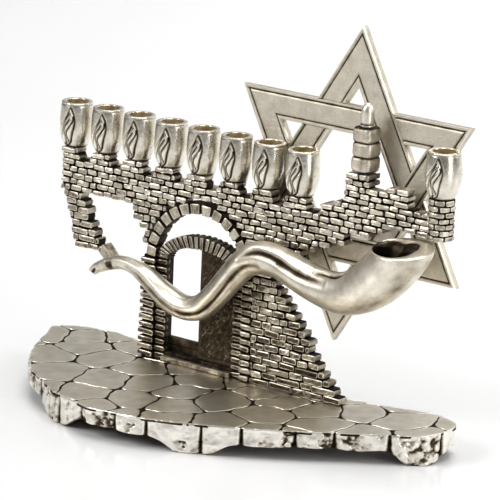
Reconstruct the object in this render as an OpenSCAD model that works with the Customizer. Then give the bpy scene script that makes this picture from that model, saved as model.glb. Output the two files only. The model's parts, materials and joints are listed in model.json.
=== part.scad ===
// Hanukkah lamp: a Jerusalem wall on a paved base, with nine candle cups,
// a gate, a tower, a ram's horn across the front and a six-pointed star behind.
// Millimetres. +X runs along the wall, +Y to the back, +Z up.
// The origin is on the table, at the centre of the base's box.

/* [Candle cups] */
// Distance from one cup to the next
cup_pitch = 18.5; // [17.5:0.5:22]
// Radius of the bore that holds a candle
candle_r = 5.2; // [4.4:0.1:5.8]
// Depth of the bore
candle_depth = 16; // [10:0.5:18]
// Height of a cup
cup_h = 21; // [20:0.5:25]
// Largest radius of a row cup
cup_r = 8.1; // [7.4:0.1:8.5]
// Largest radius of the ninth cup, the servant light
servant_cup_r = 8.6; // [8:0.1:9.5]
// Height of the ninth cup's seat above the row's
servant_rise = 12.5; // [9:0.5:18]

/* [Wall] */
// Height of the wall from the paving to the row's cup seats
wall_h = 91; // [76:1:110]
// Thickness of the wall
wall_t = 6.5; // [5.5:0.1:8]
// Height of one course of bricks on the broken edges
course_h = 3.6; // [3:0.1:4.5]
// Height of the blocks that carry the cups
merlon_h = 5.5; // [4:0.5:8]
// Width of the blocks that carry the cups
merlon_w = 13.4; // [12:0.2:14.4]

/* [Gate] */
// Radius of the wall's arched opening
arch_r = 25; // [21:0.5:26]
// Width of each jamb of the inner gate
jamb_w = 5.6; // [5:0.2:7]
// Depth of the inner gate, front to back
gate_d = 7; // [6:0.5:9]
// Thickness of the door leaf
leaf_t = 2; // [1.5:0.1:2.5]

/* [Base] */
// Depth of the base, front to back
base_d = 102; // [95:1:125]
// Height of the base from the table to the paving
base_h = 14; // [12:0.5:18]
// Thickness of the paved top
paving_t = 4; // [3:0.5:5]
// Thickness of the hewn rim
rim_t = 4.5; // [4:0.5:6]
// Height of the rim between the feet
rim_h = 8; // [6:0.5:9]

/* [Star] */
// Radius from the star's centre to its points
star_r = 71; // [60:1:80]
// Width of the star's bars
star_bar = 12.8; // [10:0.2:13.5]
// Thickness of the star
star_t = 2.6; // [2:0.1:4]
// How far the star leans back, in degrees
star_lean = 4.8; // [0:0.2:5.6]

/* [Tower] */
// Side of the turret's square drums
drum_w = 11; // [9:0.5:12]
// Height of one drum
drum_h = 6.6; // [5:0.2:8]
// Radius of the finial
finial_r = 3.2; // [2.5:0.1:4]

/* [Screws] */
// Radius of the shank of the screws in the base and the cups
screw_r = 1.5; // [1.3:0.1:1.6]
// Radius of the shank of the screws in the horn and the star
small_screw_r = 1.2; // [1:0.1:1.4]

/* [Hidden] */
$fn = 48;

gap = 0.05;            // clearance round a shank, and between castings
cups_in_row = 8;
tap_depth = 8;         // how deep a screw goes into a casting
head_h = 2;            // height of a screw's head

// Places along the wall are counted in cup pitches from the first cup.
left_margin = 15;      // first cup's axis to the base's left end
right_margin = 10.7;   // ninth cup's axis to the base's right end
servant_at = 11.03;    // the ninth cup's place, in pitches
gate_at = 4.2;
tower_at = 8.77;
star_at = 8.04;
base_w = left_margin + servant_at * cup_pitch + right_margin;
function along(n) = -base_w / 2 + left_margin + n * cup_pitch;

// Depths are measured from the wall's middle plane.
wall_back_margin = 19; // wall's middle plane to the base's back edge
wall_y = base_d / 2 - wall_back_margin;
wall_front = -wall_t / 2;
wall_back = wall_t / 2;
cup_foot_r = 5;                  // radius of a cup's foot and of the column below it
cup_y = wall_front + cup_foot_r + 0.3;   // axis of the cups
ledge_back = cup_y + cup_foot_r + 0.5;   // back of the ledge that ties the columns
ledge_h = 5;                     // height of that ledge
seat_z = base_h + wall_h;        // height of the row's cup seats
servant_z = seat_z + servant_rise;
crenel_z = seat_z - merlon_h;
band_h = 15;                     // height of the wall's upper band, without its blocks
band_z = crenel_z - band_h;      // underside of the band
band_left = along(0) - 4.5;      // the band's left end
band_right = along(7.4);         // where the band gives way to the battlements
servant_x = along(servant_at);

// Heights on the wall are shares of its height, so the horn and the breaks follow it.
function up(share) = base_h + share * wall_h;

/* ---------- small shared shapes ---------- */

// A 2-D outline drawn in X and Z, made solid between two depths from the wall's middle.
module slab(y_front, y_back)
    translate([0, wall_y + y_back, 0]) rotate([90, 0, 0])
        linear_extrude(height = y_back - y_front) children();

// A straight pin or hole along Y, from one depth to another.
module rod_y(x, z, r, y_front, y_back)
    translate([x, wall_y + y_back, z]) rotate([90, 0, 0])
        cylinder(r = r, h = y_back - y_front);

// Steps of broken brickwork from one point to another, each a riser, then a tread.
function stairs(from, to, n) = [for (i = [0 : n - 1]) each [
    [from[0] + (to[0] - from[0]) * i / n, from[1] + (to[1] - from[1]) * i / n],
    [from[0] + (to[0] - from[0]) * i / n, from[1] + (to[1] - from[1]) * (i + 1) / n]]];

function courses(rise) = max(2, round(abs(rise) / course_h));

function arc(cx, cz, r, from, to, n) =
    [for (i = [0 : n]) let(a = from + (to - from) * i / n) [cx + r * cos(a), cz + r * sin(a)]];

// A pan-head screw standing on its head, shank up.
module pan_screw(r, length) {
    cylinder(r = 2 * r, h = head_h);
    cylinder(r = r, h = head_h + length);
}

/* ---------- base ---------- */

// Corners of the hewn outline, as shares of the base's width and depth.
base_corners = [[0.006, 0.906], [0.05, 0.97], [0.13, 1], [0.92, 1], [0.975, 0.965],
    [0.996, 0.9], [1, 0.81], [0.992, 0.705], [0.95, 0.62], [0.872, 0.5], [0.797, 0.368],
    [0.716, 0.245], [0.595, 0.108], [0.504, 0.025], [0.41, 0], [0.3, 0.068],
    [0.215, 0.197], [0.16, 0.275], [0.134, 0.338], [0.1, 0.44], [0.062, 0.578],
    [0.025, 0.76], [0, 0.86]];

module base_outline()
    polygon([for (c = base_corners) [(c[0] - 0.5) * base_w, (c[1] - 0.5) * base_d]]);

module base_inside()
    polygon([for (c = base_corners) [(c[0] - 0.5) * (base_w - 2 * rim_t),
        (c[1] - 0.5) * (base_d - 2 * rim_t)]]);

// Where the rim reaches the table: share of width, share of depth,
// outward direction in degrees, width of the flat at the table.
feet = [[0.29, 0.08, 238, 16], [0.62, 0.13, 298, 14], [0.985, 0.7, 330, 8],
    [0.93, 0.98, 75, 12], [0.5, 1, 90, 14], [0.04, 0.94, 125, 10]];

foot_in = 14;          // how far a foot's wedge reaches in from the edge
foot_flare = 1.3;      // half its width at the top, over its width at the table

module foot_zone(f)
    translate([(f[0] - 0.5) * base_w, (f[1] - 0.5) * base_d, 0]) rotate([0, 0, f[2]])
        rotate([90, 0, 90]) translate([0, 0, -foot_in]) linear_extrude(height = foot_in + 10)
            polygon([[-f[3] / 2, -1], [f[3] / 2, -1], [f[3] * foot_flare, base_h - 1],
                [-f[3] * foot_flare, base_h - 1]]);

// Wall screws: two in the broad foot on the right, one in the left jamb.
wall_screw_x = [along(gate_at) - arch_r - 3.6, along(gate_at) + arch_r + 9,
    along(7.85)];
gate_screw_x = [along(gate_at) - arch_r + jamb_w / 2, along(gate_at) + arch_r - jamb_w / 2];
gate_screw_y = wall_front + 1 + gate_d / 2;
boss_z = 4;            // underside of the screw bosses
boss_r = 4.6;

module at_base_screws(z) {
    for (x = wall_screw_x) translate([x, wall_y, z]) children();
    for (x = gate_screw_x) translate([x, wall_y + gate_screw_y, z]) children();
}

module base() color("#b9b2a3") difference() {
    union() {
        translate([0, 0, base_h - paving_t]) linear_extrude(height = paving_t) base_outline();
        difference() {
            translate([0, 0, base_h - rim_h]) linear_extrude(height = rim_h - paving_t)
                base_outline();
            translate([0, 0, base_h - rim_h - 1]) linear_extrude(height = rim_h) base_inside();
        }
        for (f = feet) intersection() {
            foot_zone(f);
            difference() {
                linear_extrude(height = base_h - paving_t) base_outline();
                translate([0, 0, -1]) linear_extrude(height = base_h) base_inside();
            }
        }
        at_base_screws(boss_z) cylinder(r = boss_r, h = base_h - paving_t - boss_z);
    }
    at_base_screws(-1) cylinder(r = screw_r + gap, h = base_h + 2);
}

/* ---------- wall ---------- */

gate_x = along(gate_at);
arch_z = seat_z - 43;                    // springing of the arch
arch_ring = 5.2;                         // depth of the arch stones
ring_proud = 0.6;                        // how far they stand out from the bricks
jamb_out = arch_r + 8;                   // gate's middle to the wall's left foot
merlon_step = 2.2;                       // how much narrower a block's upper course is
tail_z = up(0.485);                      // underside of the hanging broken corner
tail_drop = 2.5;                         // how far its last brick hangs below that
right_foot_x = along(8.58);
notch = [along(6.4), up(0.57)];          // where the two broken edges on the right meet

// The band with its blocks, and the hanging corner on the left.
module band_outline() {
    translate([band_left, band_z]) square([band_right - band_left, band_h]);
    for (i = [0 : cups_in_row - 1], course = [0, 1]) {
        w = merlon_w - course * merlon_step;
        left = max(band_left, along(i) - w / 2);
        translate([left, crenel_z - 1])
            square([along(i) + w / 2 - left, 1 + merlon_h * (1 + course) / 2]);
    }
    corner_left = band_left + 1;
    polygon(concat([[corner_left, band_z + 1], [along(0.8), band_z + 1]],
        stairs([along(0.45), band_z], [along(1.3), tail_z], courses(band_z - tail_z)),
        [[along(1.62), tail_z], [along(1.62), tail_z - tail_drop],
            [along(1.1), tail_z - tail_drop], [along(1.1), tail_z], [along(0.23), tail_z]],
        stairs([along(0.23), tail_z], [corner_left, band_z], courses(band_z - tail_z))));
}

// The wall round the gate, down to the paving.
module gate_wall_outline() {
    top = crenel_z - 1;
    left = gate_x - arch_r;
    polygon(concat([[along(2.06), top], [along(2.06), up(0.71)], [along(2.3), up(0.71)],
            [along(2.3), up(0.675)], [along(2.48), up(0.675)], [along(2.48), up(0.63)],
            [along(2.3), up(0.6)], [along(2.3), up(0.565)], [along(2.5), up(0.565)],
            [along(2.5), up(0.52)], [left - 4.5, up(0.52)], [left - 4, up(0.3)],
            [gate_x - jamb_out, base_h], [right_foot_x, base_h]],
        stairs([right_foot_x, base_h], notch, courses(notch[1] - base_h)),
        stairs(notch, [along(8.5), up(0.81)], 5),
        [[along(8.5), up(0.81)], [along(8.5), top]]));
}

// The battlements on the right, between the row and the servant light:
// [from, to, height of the top, height of the underside], in pitches and mm from the seats.
battlements = [[7.35, 7.8, -5, -18], [7.75, 8.2, 0.8, -18], [8.15, 8.45, 3.5, -18],
    [8.4, 9.2, 10.6, -12.5], [9.15, 9.6, 10.6, -10], [9.6, 10.25, 15.5, -6.3],
    [10.2, 11.05, 7, -6.3]];

module battlement_outline()
    for (b = battlements) translate([along(b[0]), seat_z + b[3]])
        square([along(b[1]) - along(b[0]), b[2] - b[3]]);

pier_r = 6.2;                            // radius of the pier under the ninth cup
pier_drop = 6.3;                         // how far it reaches below the row's seats
post_r = 3;                              // radius of the posts behind the star
stump = [drum_w + 2.8, 9.2, 17];         // the tower's brick stump: width, depth, height
stump_top = seat_z + stump[2];
turret_x = along(tower_at);
turret_y = wall_front + 0.6 + drum_w / 2;

horn_screw_at = [[along(2.69), up(0.455)], [along(6.25), up(0.685)]];
star_post_at = [[along(6.85), up(0.85)], [along(9.53), up(0.965)]];

module wall() color("#a39b8a") difference() {
    union() {
        difference() {
            slab(wall_front, wall_back) {
                band_outline();
                gate_wall_outline();
                battlement_outline();
            }
            slab(wall_front - 1, wall_back + 1) {
                translate([gate_x, arch_z]) circle(r = arch_r, $fn = 96);
                translate([gate_x - arch_r, base_h - 1])
                    square([2 * arch_r, arch_z - base_h + 1]);
            }
        }
        // ring of arch stones, a little proud of the bricks
        slab(wall_front - ring_proud, wall_back) difference() {
            translate([gate_x, arch_z]) circle(r = arch_r + arch_ring, $fn = 96);
            translate([gate_x, arch_z]) circle(r = arch_r, $fn = 96);
            translate([gate_x - 2 * arch_r, arch_z - 2 * arch_r])
                square([4 * arch_r, 2 * arch_r]);
        }
        // a column behind each block carries the cup, and a ledge ties the columns together
        for (i = [0 : cups_in_row - 1]) translate([along(i), wall_y + cup_y, crenel_z - 2])
            cylinder(r = cup_foot_r, h = merlon_h + 2);
        slab(wall_back - 0.5, ledge_back)
            translate([band_left, crenel_z - ledge_h]) square([band_right - band_left, ledge_h]);
        // the tower's stump, and the round pier of the servant light
        translate([turret_x - stump[0] / 2, wall_y + wall_front, seat_z + 5])
            cube([stump[0], stump[1], stump[2] - 5]);
        slab(wall_back - 0.5, wall_front + stump[1])
            translate([along(7.75), seat_z - 6])
                square([along(10.25) - along(7.75), 9]);
        translate([servant_x, wall_y + cup_y, seat_z - pier_drop])
            cylinder(r = pier_r, h = servant_rise + pier_drop);
    }
    for (i = [0 : cups_in_row - 1]) translate([along(i), wall_y + cup_y, seat_z - tap_depth])
        cylinder(r = screw_r, h = tap_depth + 1);
    translate([servant_x, wall_y + cup_y, servant_z - tap_depth])
        cylinder(r = screw_r, h = tap_depth + 1);
    for (x = wall_screw_x) translate([x, wall_y, base_h - 1])
        cylinder(r = screw_r, h = tap_depth + 1);
    for (p = horn_screw_at) rod_y(p[0], p[1], small_screw_r + gap, wall_front - 2, wall_back + 2);
    for (p = star_post_at) {
        rod_y(p[0], p[1], small_screw_r, wall_front + 2, wall_back + 1);
        rod_y(p[0], p[1], post_r + gap, wall_back, wall_back + 12);
    }
    translate([turret_x, wall_y + turret_y, stump_top - tap_depth])
        cylinder(r = small_screw_r, h = tap_depth + 1);
}

/* ---------- gate ---------- */

gate_r = arch_r - gap;                   // half the width over the jambs
opening_r = arch_r - jamb_w;             // half the width of the gateway
crown_rise = 14;                         // springing to the top of the inner arch
ring_in = 6;                             // depth of the inner arch stones
gate_front = wall_front + 1;
leaf_edge = 1.2;                         // how far the leaf reaches past the gate's middle
leaf_foot = 4.3;                         // height of its lower edge above the paving
leaf_back = gate_front + 4.4;            // its back face, just in front of the rail

// The threshold's sill, step and rail: [front, back, height], behind the gate's front.
threshold = [[-1.4, 1.5, 2.4], [1, 4.6, 4.2], [4.5, gate_d, 10.8]];

// A flat arch: the upper half of an ellipse, as a formula.
function flat_arch(half_w, rise, n) = [for (i = [0 : n]) let(a = 180 * i / n)
    [gate_x + half_w * cos(a), arch_z + rise * sin(a)]];

module gate_outline() difference() {
    polygon(concat([[gate_x - gate_r, base_h], [gate_x + gate_r, base_h]],
        flat_arch(gate_r, crown_rise, 24)));
    polygon(concat([[gate_x - opening_r, base_h - 1], [gate_x + opening_r, base_h - 1]],
        flat_arch(opening_r, crown_rise - ring_in, 24)));
}

module gate_frame() color("#8f8776") difference() {
    union() {
        slab(gate_front, gate_front + gate_d) gate_outline();
        for (t = threshold) slab(gate_front + t[0], gate_front + t[1])
            translate([gate_x - opening_r - 0.5, base_h]) square([2 * opening_r + 1, t[2]]);
    }
    for (x = gate_screw_x) translate([x, wall_y + gate_screw_y, base_h - 1])
        cylinder(r = screw_r, h = tap_depth + 1);
}

// One leaf, closing the right half of the gateway, set in front of the rail.
module gate_leaf() color("#6e665a")
    slab(leaf_back - leaf_t, leaf_back) intersection() {
        translate([gate_x - leaf_edge, base_h + leaf_foot])
            square([leaf_edge + opening_r - 2 * gap, wall_h]);
        polygon(concat([[gate_x - opening_r + gap, base_h], [gate_x + opening_r - gap, base_h]],
            flat_arch(opening_r - gap, crown_rise - ring_in - gap, 24)));
    }

/* ---------- tower ---------- */

drum_corner = 3;       // rounding of the drums' corners
groove = 0.8;          // depth of the groove between two drums
groove_low = 0.7;      // height of the groove's part at a drum's foot
groove_high = 0.4;     // and at its head

function rounded_square(w, r) = [for (q = [0 : 3]) each
    arc((w / 2 - r) * (q == 0 || q == 3 ? 1 : -1), (w / 2 - r) * (q < 2 ? 1 : -1),
        r, 90 * q, 90 * q + 90, 4)];

module tower_turret() color("#a9a293")
    translate([turret_x, wall_y + turret_y, stump_top]) difference() {
        for (i = [0 : 2]) translate([0, 0, i * drum_h]) {
            linear_extrude(height = drum_h)
                polygon(rounded_square(drum_w - 2 * groove, drum_corner - groove));
            translate([0, 0, groove_low])
                linear_extrude(height = drum_h - groove_low - groove_high)
                polygon(rounded_square(drum_w, drum_corner));
        }
        translate([0, 0, -1]) cylinder(r = small_screw_r + gap, h = 3 * drum_h + 2);
    }

finial_h = 10.8;
tip_h = 1.3 * finial_r; // height of the finial's rounded tip
tip_flat_r = 0.6;      // radius of the small flat on top
module tower_finial() color("#cdc7b8")
    translate([turret_x, wall_y + turret_y, stump_top + 3 * drum_h]) difference() {
        rotate_extrude() polygon(concat([[0, 0], [finial_r - 0.3, 0], [finial_r, 1]],
            [for (i = [0 : 6]) let(a = 90 * i / 8)
                [finial_r * cos(a), finial_h - tip_h * (1 - sin(a))]],
            [[tip_flat_r, finial_h], [0, finial_h]]));
        translate([0, 0, -1]) cylinder(r = small_screw_r, h = 6);
    }

// The pin that holds the drums and the finial on the stump.
module turret_pin() color("#777777")
    translate([turret_x, wall_y + turret_y, stump_top - tap_depth + 0.5])
        cylinder(r = small_screw_r - gap, h = tap_depth - 0.5 + 3 * drum_h + 4.5);

/* ---------- ram's horn ---------- */

// Stations along the horn: place in pitches, height as a share of the wall,
// direction of the section in degrees from upright, half height and half depth in mm.
horn = [
    [0.98, 0.385, -62, 1.4, 1.8], [1.2, 0.418, -50, 2.3, 2.5], [1.6, 0.457, -24, 3.2, 3.2],
    [2, 0.478, 2, 3.2, 3.5],
    [2.4, 0.472, 18, 3.4, 4], [2.79, 0.448, 30, 4.6, 4.6], [3.19, 0.4, 34, 5.3, 5],
    [3.57, 0.36, 26, 6, 5.4], [3.96, 0.337, 8, 5.8, 5.6], [4.32, 0.338, -8, 5.7, 5.7],
    [4.68, 0.37, -30, 6, 5.8], [5.08, 0.45, -48, 6.1, 5.9], [5.5, 0.553, -50, 6.5, 6],
    [5.9, 0.64, -34, 7, 6.2], [6.33, 0.683, -10, 7.6, 6.4], [6.8, 0.686, 9, 7.4, 6.6],
    [7.26, 0.663, 16, 7.7, 6.8], [7.75, 0.634, 14, 8.1, 7.2], [8.25, 0.614, 6, 8.5, 8],
    [8.75, 0.607, -8, 9.3, 9], [9.25, 0.632, -28, 10.2, 10], [9.75, 0.693, -50, 11.6, 11],
    [10.17, 0.776, -70, 13, 11.8], [10.5, 0.86, -84, 14, 12.2], [10.58, 0.898, -92, 14.3, 12.4]];
horn_wall = 3;         // thickness of the metal at the mouth
hollow_from = 5;       // how many stations back from the mouth the hollow reaches
horn_rest = 0.05;      // gap between the horn and the wall's face
mouth_back = 2.5;      // how far the mouth reaches behind the wall's face
hollow_taper = 2.2;    // how much more metal there is at the hollow's end
mouth_tilt = 0.2;      // rise of the mouth's back over its front, per mm of depth
lip_shift = 2;         // how far the mouth's hollow sits off its middle, away from the tip
ring_n = 24;
steps_per_station = 3;

// Cubic through four values.
function cubic(a, b, c, d, t) = b + 0.5 * t * (c - a + t * (2 * a - 5 * b + 4 * c - d
    + t * (3 * (b - c) + d - a)));
function horn_at(s) = let(n = len(horn) - 1, i = min(floor(s), n - 1), t = s - i)
    [for (k = [0 : 4]) cubic(horn[max(i - 1, 0)][k], horn[i][k], horn[i + 1][k],
        horn[min(i + 2, n)][k], t)];

// One ring of the skin at station s, shrunk by inset and moved by shift for the hollow.
function horn_ring(s, inset, shift) = let(h = horn_at(s), n = len(horn) - 1,
    free = max(0, (s - (n - 6)) / 6),
    tilt = mouth_tilt * pow(max(0, (s - (n - 2.5)) / 2.5), 2),
    y = wall_front - ring_proud - horn_rest - h[4] + free * free * (3 - 2 * free) * mouth_back,
    a = h[3] - inset, b = h[4] - inset)
    [for (i = [0 : ring_n - 1]) let(q = 360 * i / ring_n, r = a * cos(q) + shift)
        [along(h[0]) + r * sin(h[2]), wall_y + y + b * sin(q),
            up(h[1]) + r * cos(h[2]) + tilt * b * sin(q)]];

horn_last = len(horn) - 1;
outer_rings = [for (k = [0 : horn_last * steps_per_station])
    horn_ring(k / steps_per_station, 0, 0)];
// The hollow runs from the mouth back into the horn: depth goes from 0 to 1.
inner_rings = [for (k = [0 : hollow_from * steps_per_station])
    let(depth = k / (hollow_from * steps_per_station))
    horn_ring(horn_last - hollow_from * depth,
        horn_wall + hollow_taper * depth * depth, lip_shift * (1 - depth))];
horn_rings = concat(outer_rings, inner_rings);

module horn_skin() {
    m = len(horn_rings);
    polyhedron(points = [for (r = horn_rings) each r],
        faces = concat([[for (i = [0 : ring_n - 1]) i]],
            [for (k = [0 : m - 2]) for (i = [0 : ring_n - 1]) let(j = (i + 1) % ring_n)
                each [[k * ring_n + i, (k + 1) * ring_n + i, k * ring_n + j],
                    [(k + 1) * ring_n + i, (k + 1) * ring_n + j, k * ring_n + j]]],
            [[for (i = [ring_n - 1 : -1 : 0]) (m - 1) * ring_n + i]]));
}

module shofar() color("#c9c3b4") difference() {
    horn_skin();
    for (p = horn_screw_at)
        rod_y(p[0], p[1], small_screw_r, wall_front - 7, wall_front + 1);
}

/* ---------- star ---------- */

star_x = along(star_at);
star_z = seat_z + 7.2;
star_gap = 0.5;                          // between the star and the cups' bellies
star_y = cup_y + max(cup_r, servant_cup_r - 0.8) + star_gap;  // front face at its centre

// Everything on the star is drawn flat, then leant back about its centre.
module leaning() translate([star_x, wall_y + star_y, star_z]) rotate([-star_lean, 0, 0])
    rotate([90, 0, 0]) children();

module triangle_frame(turn) rotate(turn) difference() {
    polygon([for (k = [0 : 2]) star_r * [sin(120 * k), cos(120 * k)]]);
    polygon([for (k = [0 : 2]) (star_r - 2 * star_bar) * [sin(120 * k), cos(120 * k)]]);
}

module star() color("#bfb9aa") difference() {
    leaning() translate([0, 0, -star_t]) linear_extrude(height = star_t) {
        triangle_frame(0);
        triangle_frame(60);
    }
    for (p = star_post_at) rod_y(p[0], p[1], small_screw_r + gap, 0, 40);
}

// Two short posts between the wall's back and the star's front.
module star_posts() color("#8a8478") difference() {
    for (p = star_post_at) rod_y(p[0], p[1], post_r, wall_back, 30);
    leaning() translate([-2 * star_r, -2 * star_r, -40])
        cube([4 * star_r, 4 * star_r, 40]);
    for (p = star_post_at) rod_y(p[0], p[1], small_screw_r + gap, 0, 40);
}

/* ---------- cups ---------- */

floor_t = cup_h - candle_depth;          // metal below the bore

// Outside of a cup: foot, belly and rim, as a formula.
foot_swell = 0.2;                        // from the seat's radius to the foot's
rim_wall = 2;                            // metal round the bore at the rim
widest_at = 0.55;                        // where a cup is widest, as a share of its height
function belly(t, r) = t < widest_at
    ? cup_foot_r + foot_swell
        + (r - cup_foot_r - foot_swell) * pow(sin(90 * t / widest_at), 0.75)
    : r - (r - candle_r - rim_wall) * pow((t - widest_at) / (1 - widest_at), 1.6);

module cup(x, z, r) color("#d6d0c2") translate([x, wall_y + cup_y, z]) difference() {
    rotate_extrude() polygon(concat([[0, 0]],
        [for (i = [0 : 14]) [belly(i / 14, r), cup_h * i / 14]],
        [[0, cup_h]]));
    translate([0, 0, floor_t]) cylinder(r = candle_r, h = candle_depth + 1);
    translate([0, 0, -1]) cylinder(r = screw_r + gap, h = floor_t + 2);
    translate([0, 0, floor_t - head_h]) cylinder(r = 2 * screw_r + gap, h = head_h + 1);
}

module candle_cup(i) cup(along(i - 1), seat_z, cup_r);
module servant_cup() cup(servant_x, servant_z, servant_cup_r);

/* ---------- screws ---------- */

// One screw down through each cup's floor into the wall.
module cup_screw(x, z) translate([x, wall_y + cup_y, z + floor_t]) rotate([180, 0, 0])
    pan_screw(screw_r, floor_t - head_h + tap_depth - 1);

module cup_screws() color("#777777") {
    for (i = [0 : cups_in_row - 1]) cup_screw(along(i), seat_z);
    cup_screw(servant_x, servant_z);
}

base_screw_l = base_h - boss_z + tap_depth - 1;

module wall_screws() color("#777777")
    for (x = wall_screw_x) translate([x, wall_y, boss_z - head_h])
        pan_screw(screw_r, base_screw_l);

module gate_screws() color("#777777")
    for (x = gate_screw_x) translate([x, wall_y + gate_screw_y, boss_z - head_h])
        pan_screw(screw_r, base_screw_l);

module horn_screws() color("#777777") for (p = horn_screw_at) {
    rod_y(p[0], p[1], small_screw_r, wall_front - 6.5, wall_back);
    rod_y(p[0], p[1], 2 * small_screw_r, wall_back, wall_back + head_h);
}

module star_screws() color("#777777") for (p = star_post_at) {
    tilt_y = star_y + star_t / cos(star_lean)
        + (p[1] - star_z) * tan(star_lean) + 2 * small_screw_r * tan(star_lean);
    rod_y(p[0], p[1], small_screw_r, wall_front + 2.5, tilt_y);
    rod_y(p[0], p[1], 2 * small_screw_r, tilt_y, tilt_y + head_h);
}

/* ---------- the assembly ---------- */

base();
wall();
gate_frame();
gate_leaf();
tower_turret();
tower_finial();
shofar();
star();
star_posts();
candle_cup(1);  // candle_cup_1
candle_cup(2);  // candle_cup_2
candle_cup(3);  // candle_cup_3
candle_cup(4);  // candle_cup_4
candle_cup(5);  // candle_cup_5
candle_cup(6);  // candle_cup_6
candle_cup(7);  // candle_cup_7
candle_cup(8);  // candle_cup_8
servant_cup();
cup_screws();
wall_screws();
gate_screws();
horn_screws();
star_screws();
turret_pin();
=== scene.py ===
"""A silver Hanukkah lamp: brick wall, gate, tower, ram's horn, star, candle cups and a paved base.

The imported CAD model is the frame. Every visible casting is rebuilt here as a detailed mesh that stands for
its CAD node. Sizes inside the builders are millimetres in the CAD frame: +X along the wall, +Y to the back.
"""
import json
import math
from functools import lru_cache
from itertools import pairwise, product

import bpy
import numpy as np
from mathutils import Matrix, Vector
from mathutils.bvhtree import BVHTree


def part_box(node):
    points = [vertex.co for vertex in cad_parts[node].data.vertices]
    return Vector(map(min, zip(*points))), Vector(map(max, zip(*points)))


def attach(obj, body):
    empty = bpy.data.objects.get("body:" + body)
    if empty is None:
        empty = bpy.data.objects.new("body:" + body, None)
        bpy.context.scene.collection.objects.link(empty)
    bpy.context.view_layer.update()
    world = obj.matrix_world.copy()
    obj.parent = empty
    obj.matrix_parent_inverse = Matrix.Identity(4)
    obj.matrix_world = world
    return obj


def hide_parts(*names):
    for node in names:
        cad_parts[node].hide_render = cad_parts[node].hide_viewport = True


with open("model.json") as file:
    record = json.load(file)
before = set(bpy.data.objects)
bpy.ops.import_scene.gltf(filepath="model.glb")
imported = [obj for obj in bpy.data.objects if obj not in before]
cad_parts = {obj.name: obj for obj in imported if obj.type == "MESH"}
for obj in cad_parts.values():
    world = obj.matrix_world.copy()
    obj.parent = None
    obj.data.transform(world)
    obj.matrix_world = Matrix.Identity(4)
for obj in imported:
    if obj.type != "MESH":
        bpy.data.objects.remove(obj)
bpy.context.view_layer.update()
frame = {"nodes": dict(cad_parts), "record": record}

MM = 0.001
PI = math.pi


# ---------------------------------------------------------------- the frame's sizes

def box_mm(node):
    """Low and high corner of a CAD node."""
    low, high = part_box(node)
    return np.array(low) / MM, np.array(high) / MM


def middle_of(node):
    low, high = box_mm(node)
    return (low + high) / 2


CUPS = [f"candle_cup_{i}" for i in range(1, 9)]
FIRST_X, CUP_Y, _ = middle_of(CUPS[0])
PITCH = (middle_of(CUPS[-1])[0] - FIRST_X) / 7
SEAT = box_mm(CUPS[0])[0][2]           # height of the cups' seats
BASE_LOW, BASE_HIGH = box_mm("base")
PAVING = BASE_HIGH[2]                  # height of the paved top
WALL_H = SEAT - PAVING
GATE_LOW, GATE_HIGH = box_mm("gate_frame")
GATE_X = middle_of("gate_frame")[0]
ARCH_R = (GATE_HIGH[0] - GATE_LOW[0]) / 2
BORE = next(m["dims"] for m in frame["record"]["mounts"] if m["kind"] == "bore")
BORE_R = BORE["r_mm"]


def along(n):
    """Place along the wall, in cup pitches from the first cup."""
    return FIRST_X + n * PITCH


def up(share):
    """Height on the wall, as a share of the wall's height."""
    return PAVING + share * WALL_H


class Probe:
    """Looks for a CAD node's faces along the Y axis."""

    def __init__(self, node):
        mesh = frame["nodes"][node].data
        points = [v.co for v in mesh.vertices]
        self.tree = BVHTree.FromPolygons(points, [tuple(p.vertices) for p in mesh.polygons])

    def cast(self, x, z, heading):
        hit = self.tree.ray_cast(Vector((x * MM, -heading, z * MM)), Vector((0, heading, 0)))[0]
        return None if hit is None else hit.y / MM

    def front(self, x, z):
        return self.cast(x, z, 1)

    def back(self, x, z):
        return self.cast(x, z, -1)


wall_probe = Probe("wall")
WALL_FRONT = wall_probe.front(along(0.5), SEAT - 15)
WALL_BACK = wall_probe.back(along(0.5), SEAT - 15)
WALL_Y = (WALL_FRONT + WALL_BACK) / 2


# ---------------------------------------------------------------- mesh containers and shared builders

class Mesh:
    """Collects points, faces and a wear-and-shade value per point: 0 is deep patina, 1 is bright metal. Some
    values are painted shade and painted highlight, on the horn and the cups.
    """

    def __init__(self):
        self.points = []
        self.wear_and_shade = []
        self.faces = []
        self.count = 0

    def add(self, points, faces, wear_and_shade):
        points = np.asarray(points, float).reshape(-1, 3)
        self.points.append(points)
        self.wear_and_shade.append(np.broadcast_to(np.asarray(wear_and_shade, float), (len(points),)))
        self.faces.extend([tuple(int(i) + self.count for i in f) for f in faces])
        self.count += len(points)

    def build(self, name, material, stands_for=(), smooth_angle=40):
        mesh = bpy.data.meshes.new(name)
        points = np.concatenate(self.points) * MM
        mesh.from_pydata(points.tolist(), [], self.faces)
        mesh.validate()
        wear_and_shade = np.concatenate(self.wear_and_shade)
        layer = mesh.color_attributes.new("wear_and_shade", "FLOAT_COLOR", "POINT")
        values = np.ones((len(mesh.vertices), 4), np.float32)
        values[:, :3] = np.clip(wear_and_shade, 0, 1)[:, None]
        layer.data.foreach_set("color", values.ravel())
        mesh.materials.append(material)
        mesh.shade_smooth()
        mesh.set_sharp_from_angle(angle=math.radians(smooth_angle))
        piece = bpy.data.objects.new(name, mesh)
        bpy.context.scene.collection.objects.link(piece)
        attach(piece, "root")
        if stands_for:
            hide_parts(*stands_for)


def grid_faces(rows, cols, close_cols=False, flip=False):
    """Quads between rows of points, with the last column joined to the first if close_cols is set."""
    faces = []
    for row, j in product(range(rows - 1), range(cols if close_cols else cols - 1)):
        near, far = row * cols, (row + 1) * cols
        after = (j + 1) % cols
        quad = (near + j, near + after, far + after, far + j)
        faces.append(quad[::-1] if flip else quad)
    return faces


def cap(first, count):
    """One face over a ring of points."""
    return tuple(range(first, first + count))


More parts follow.
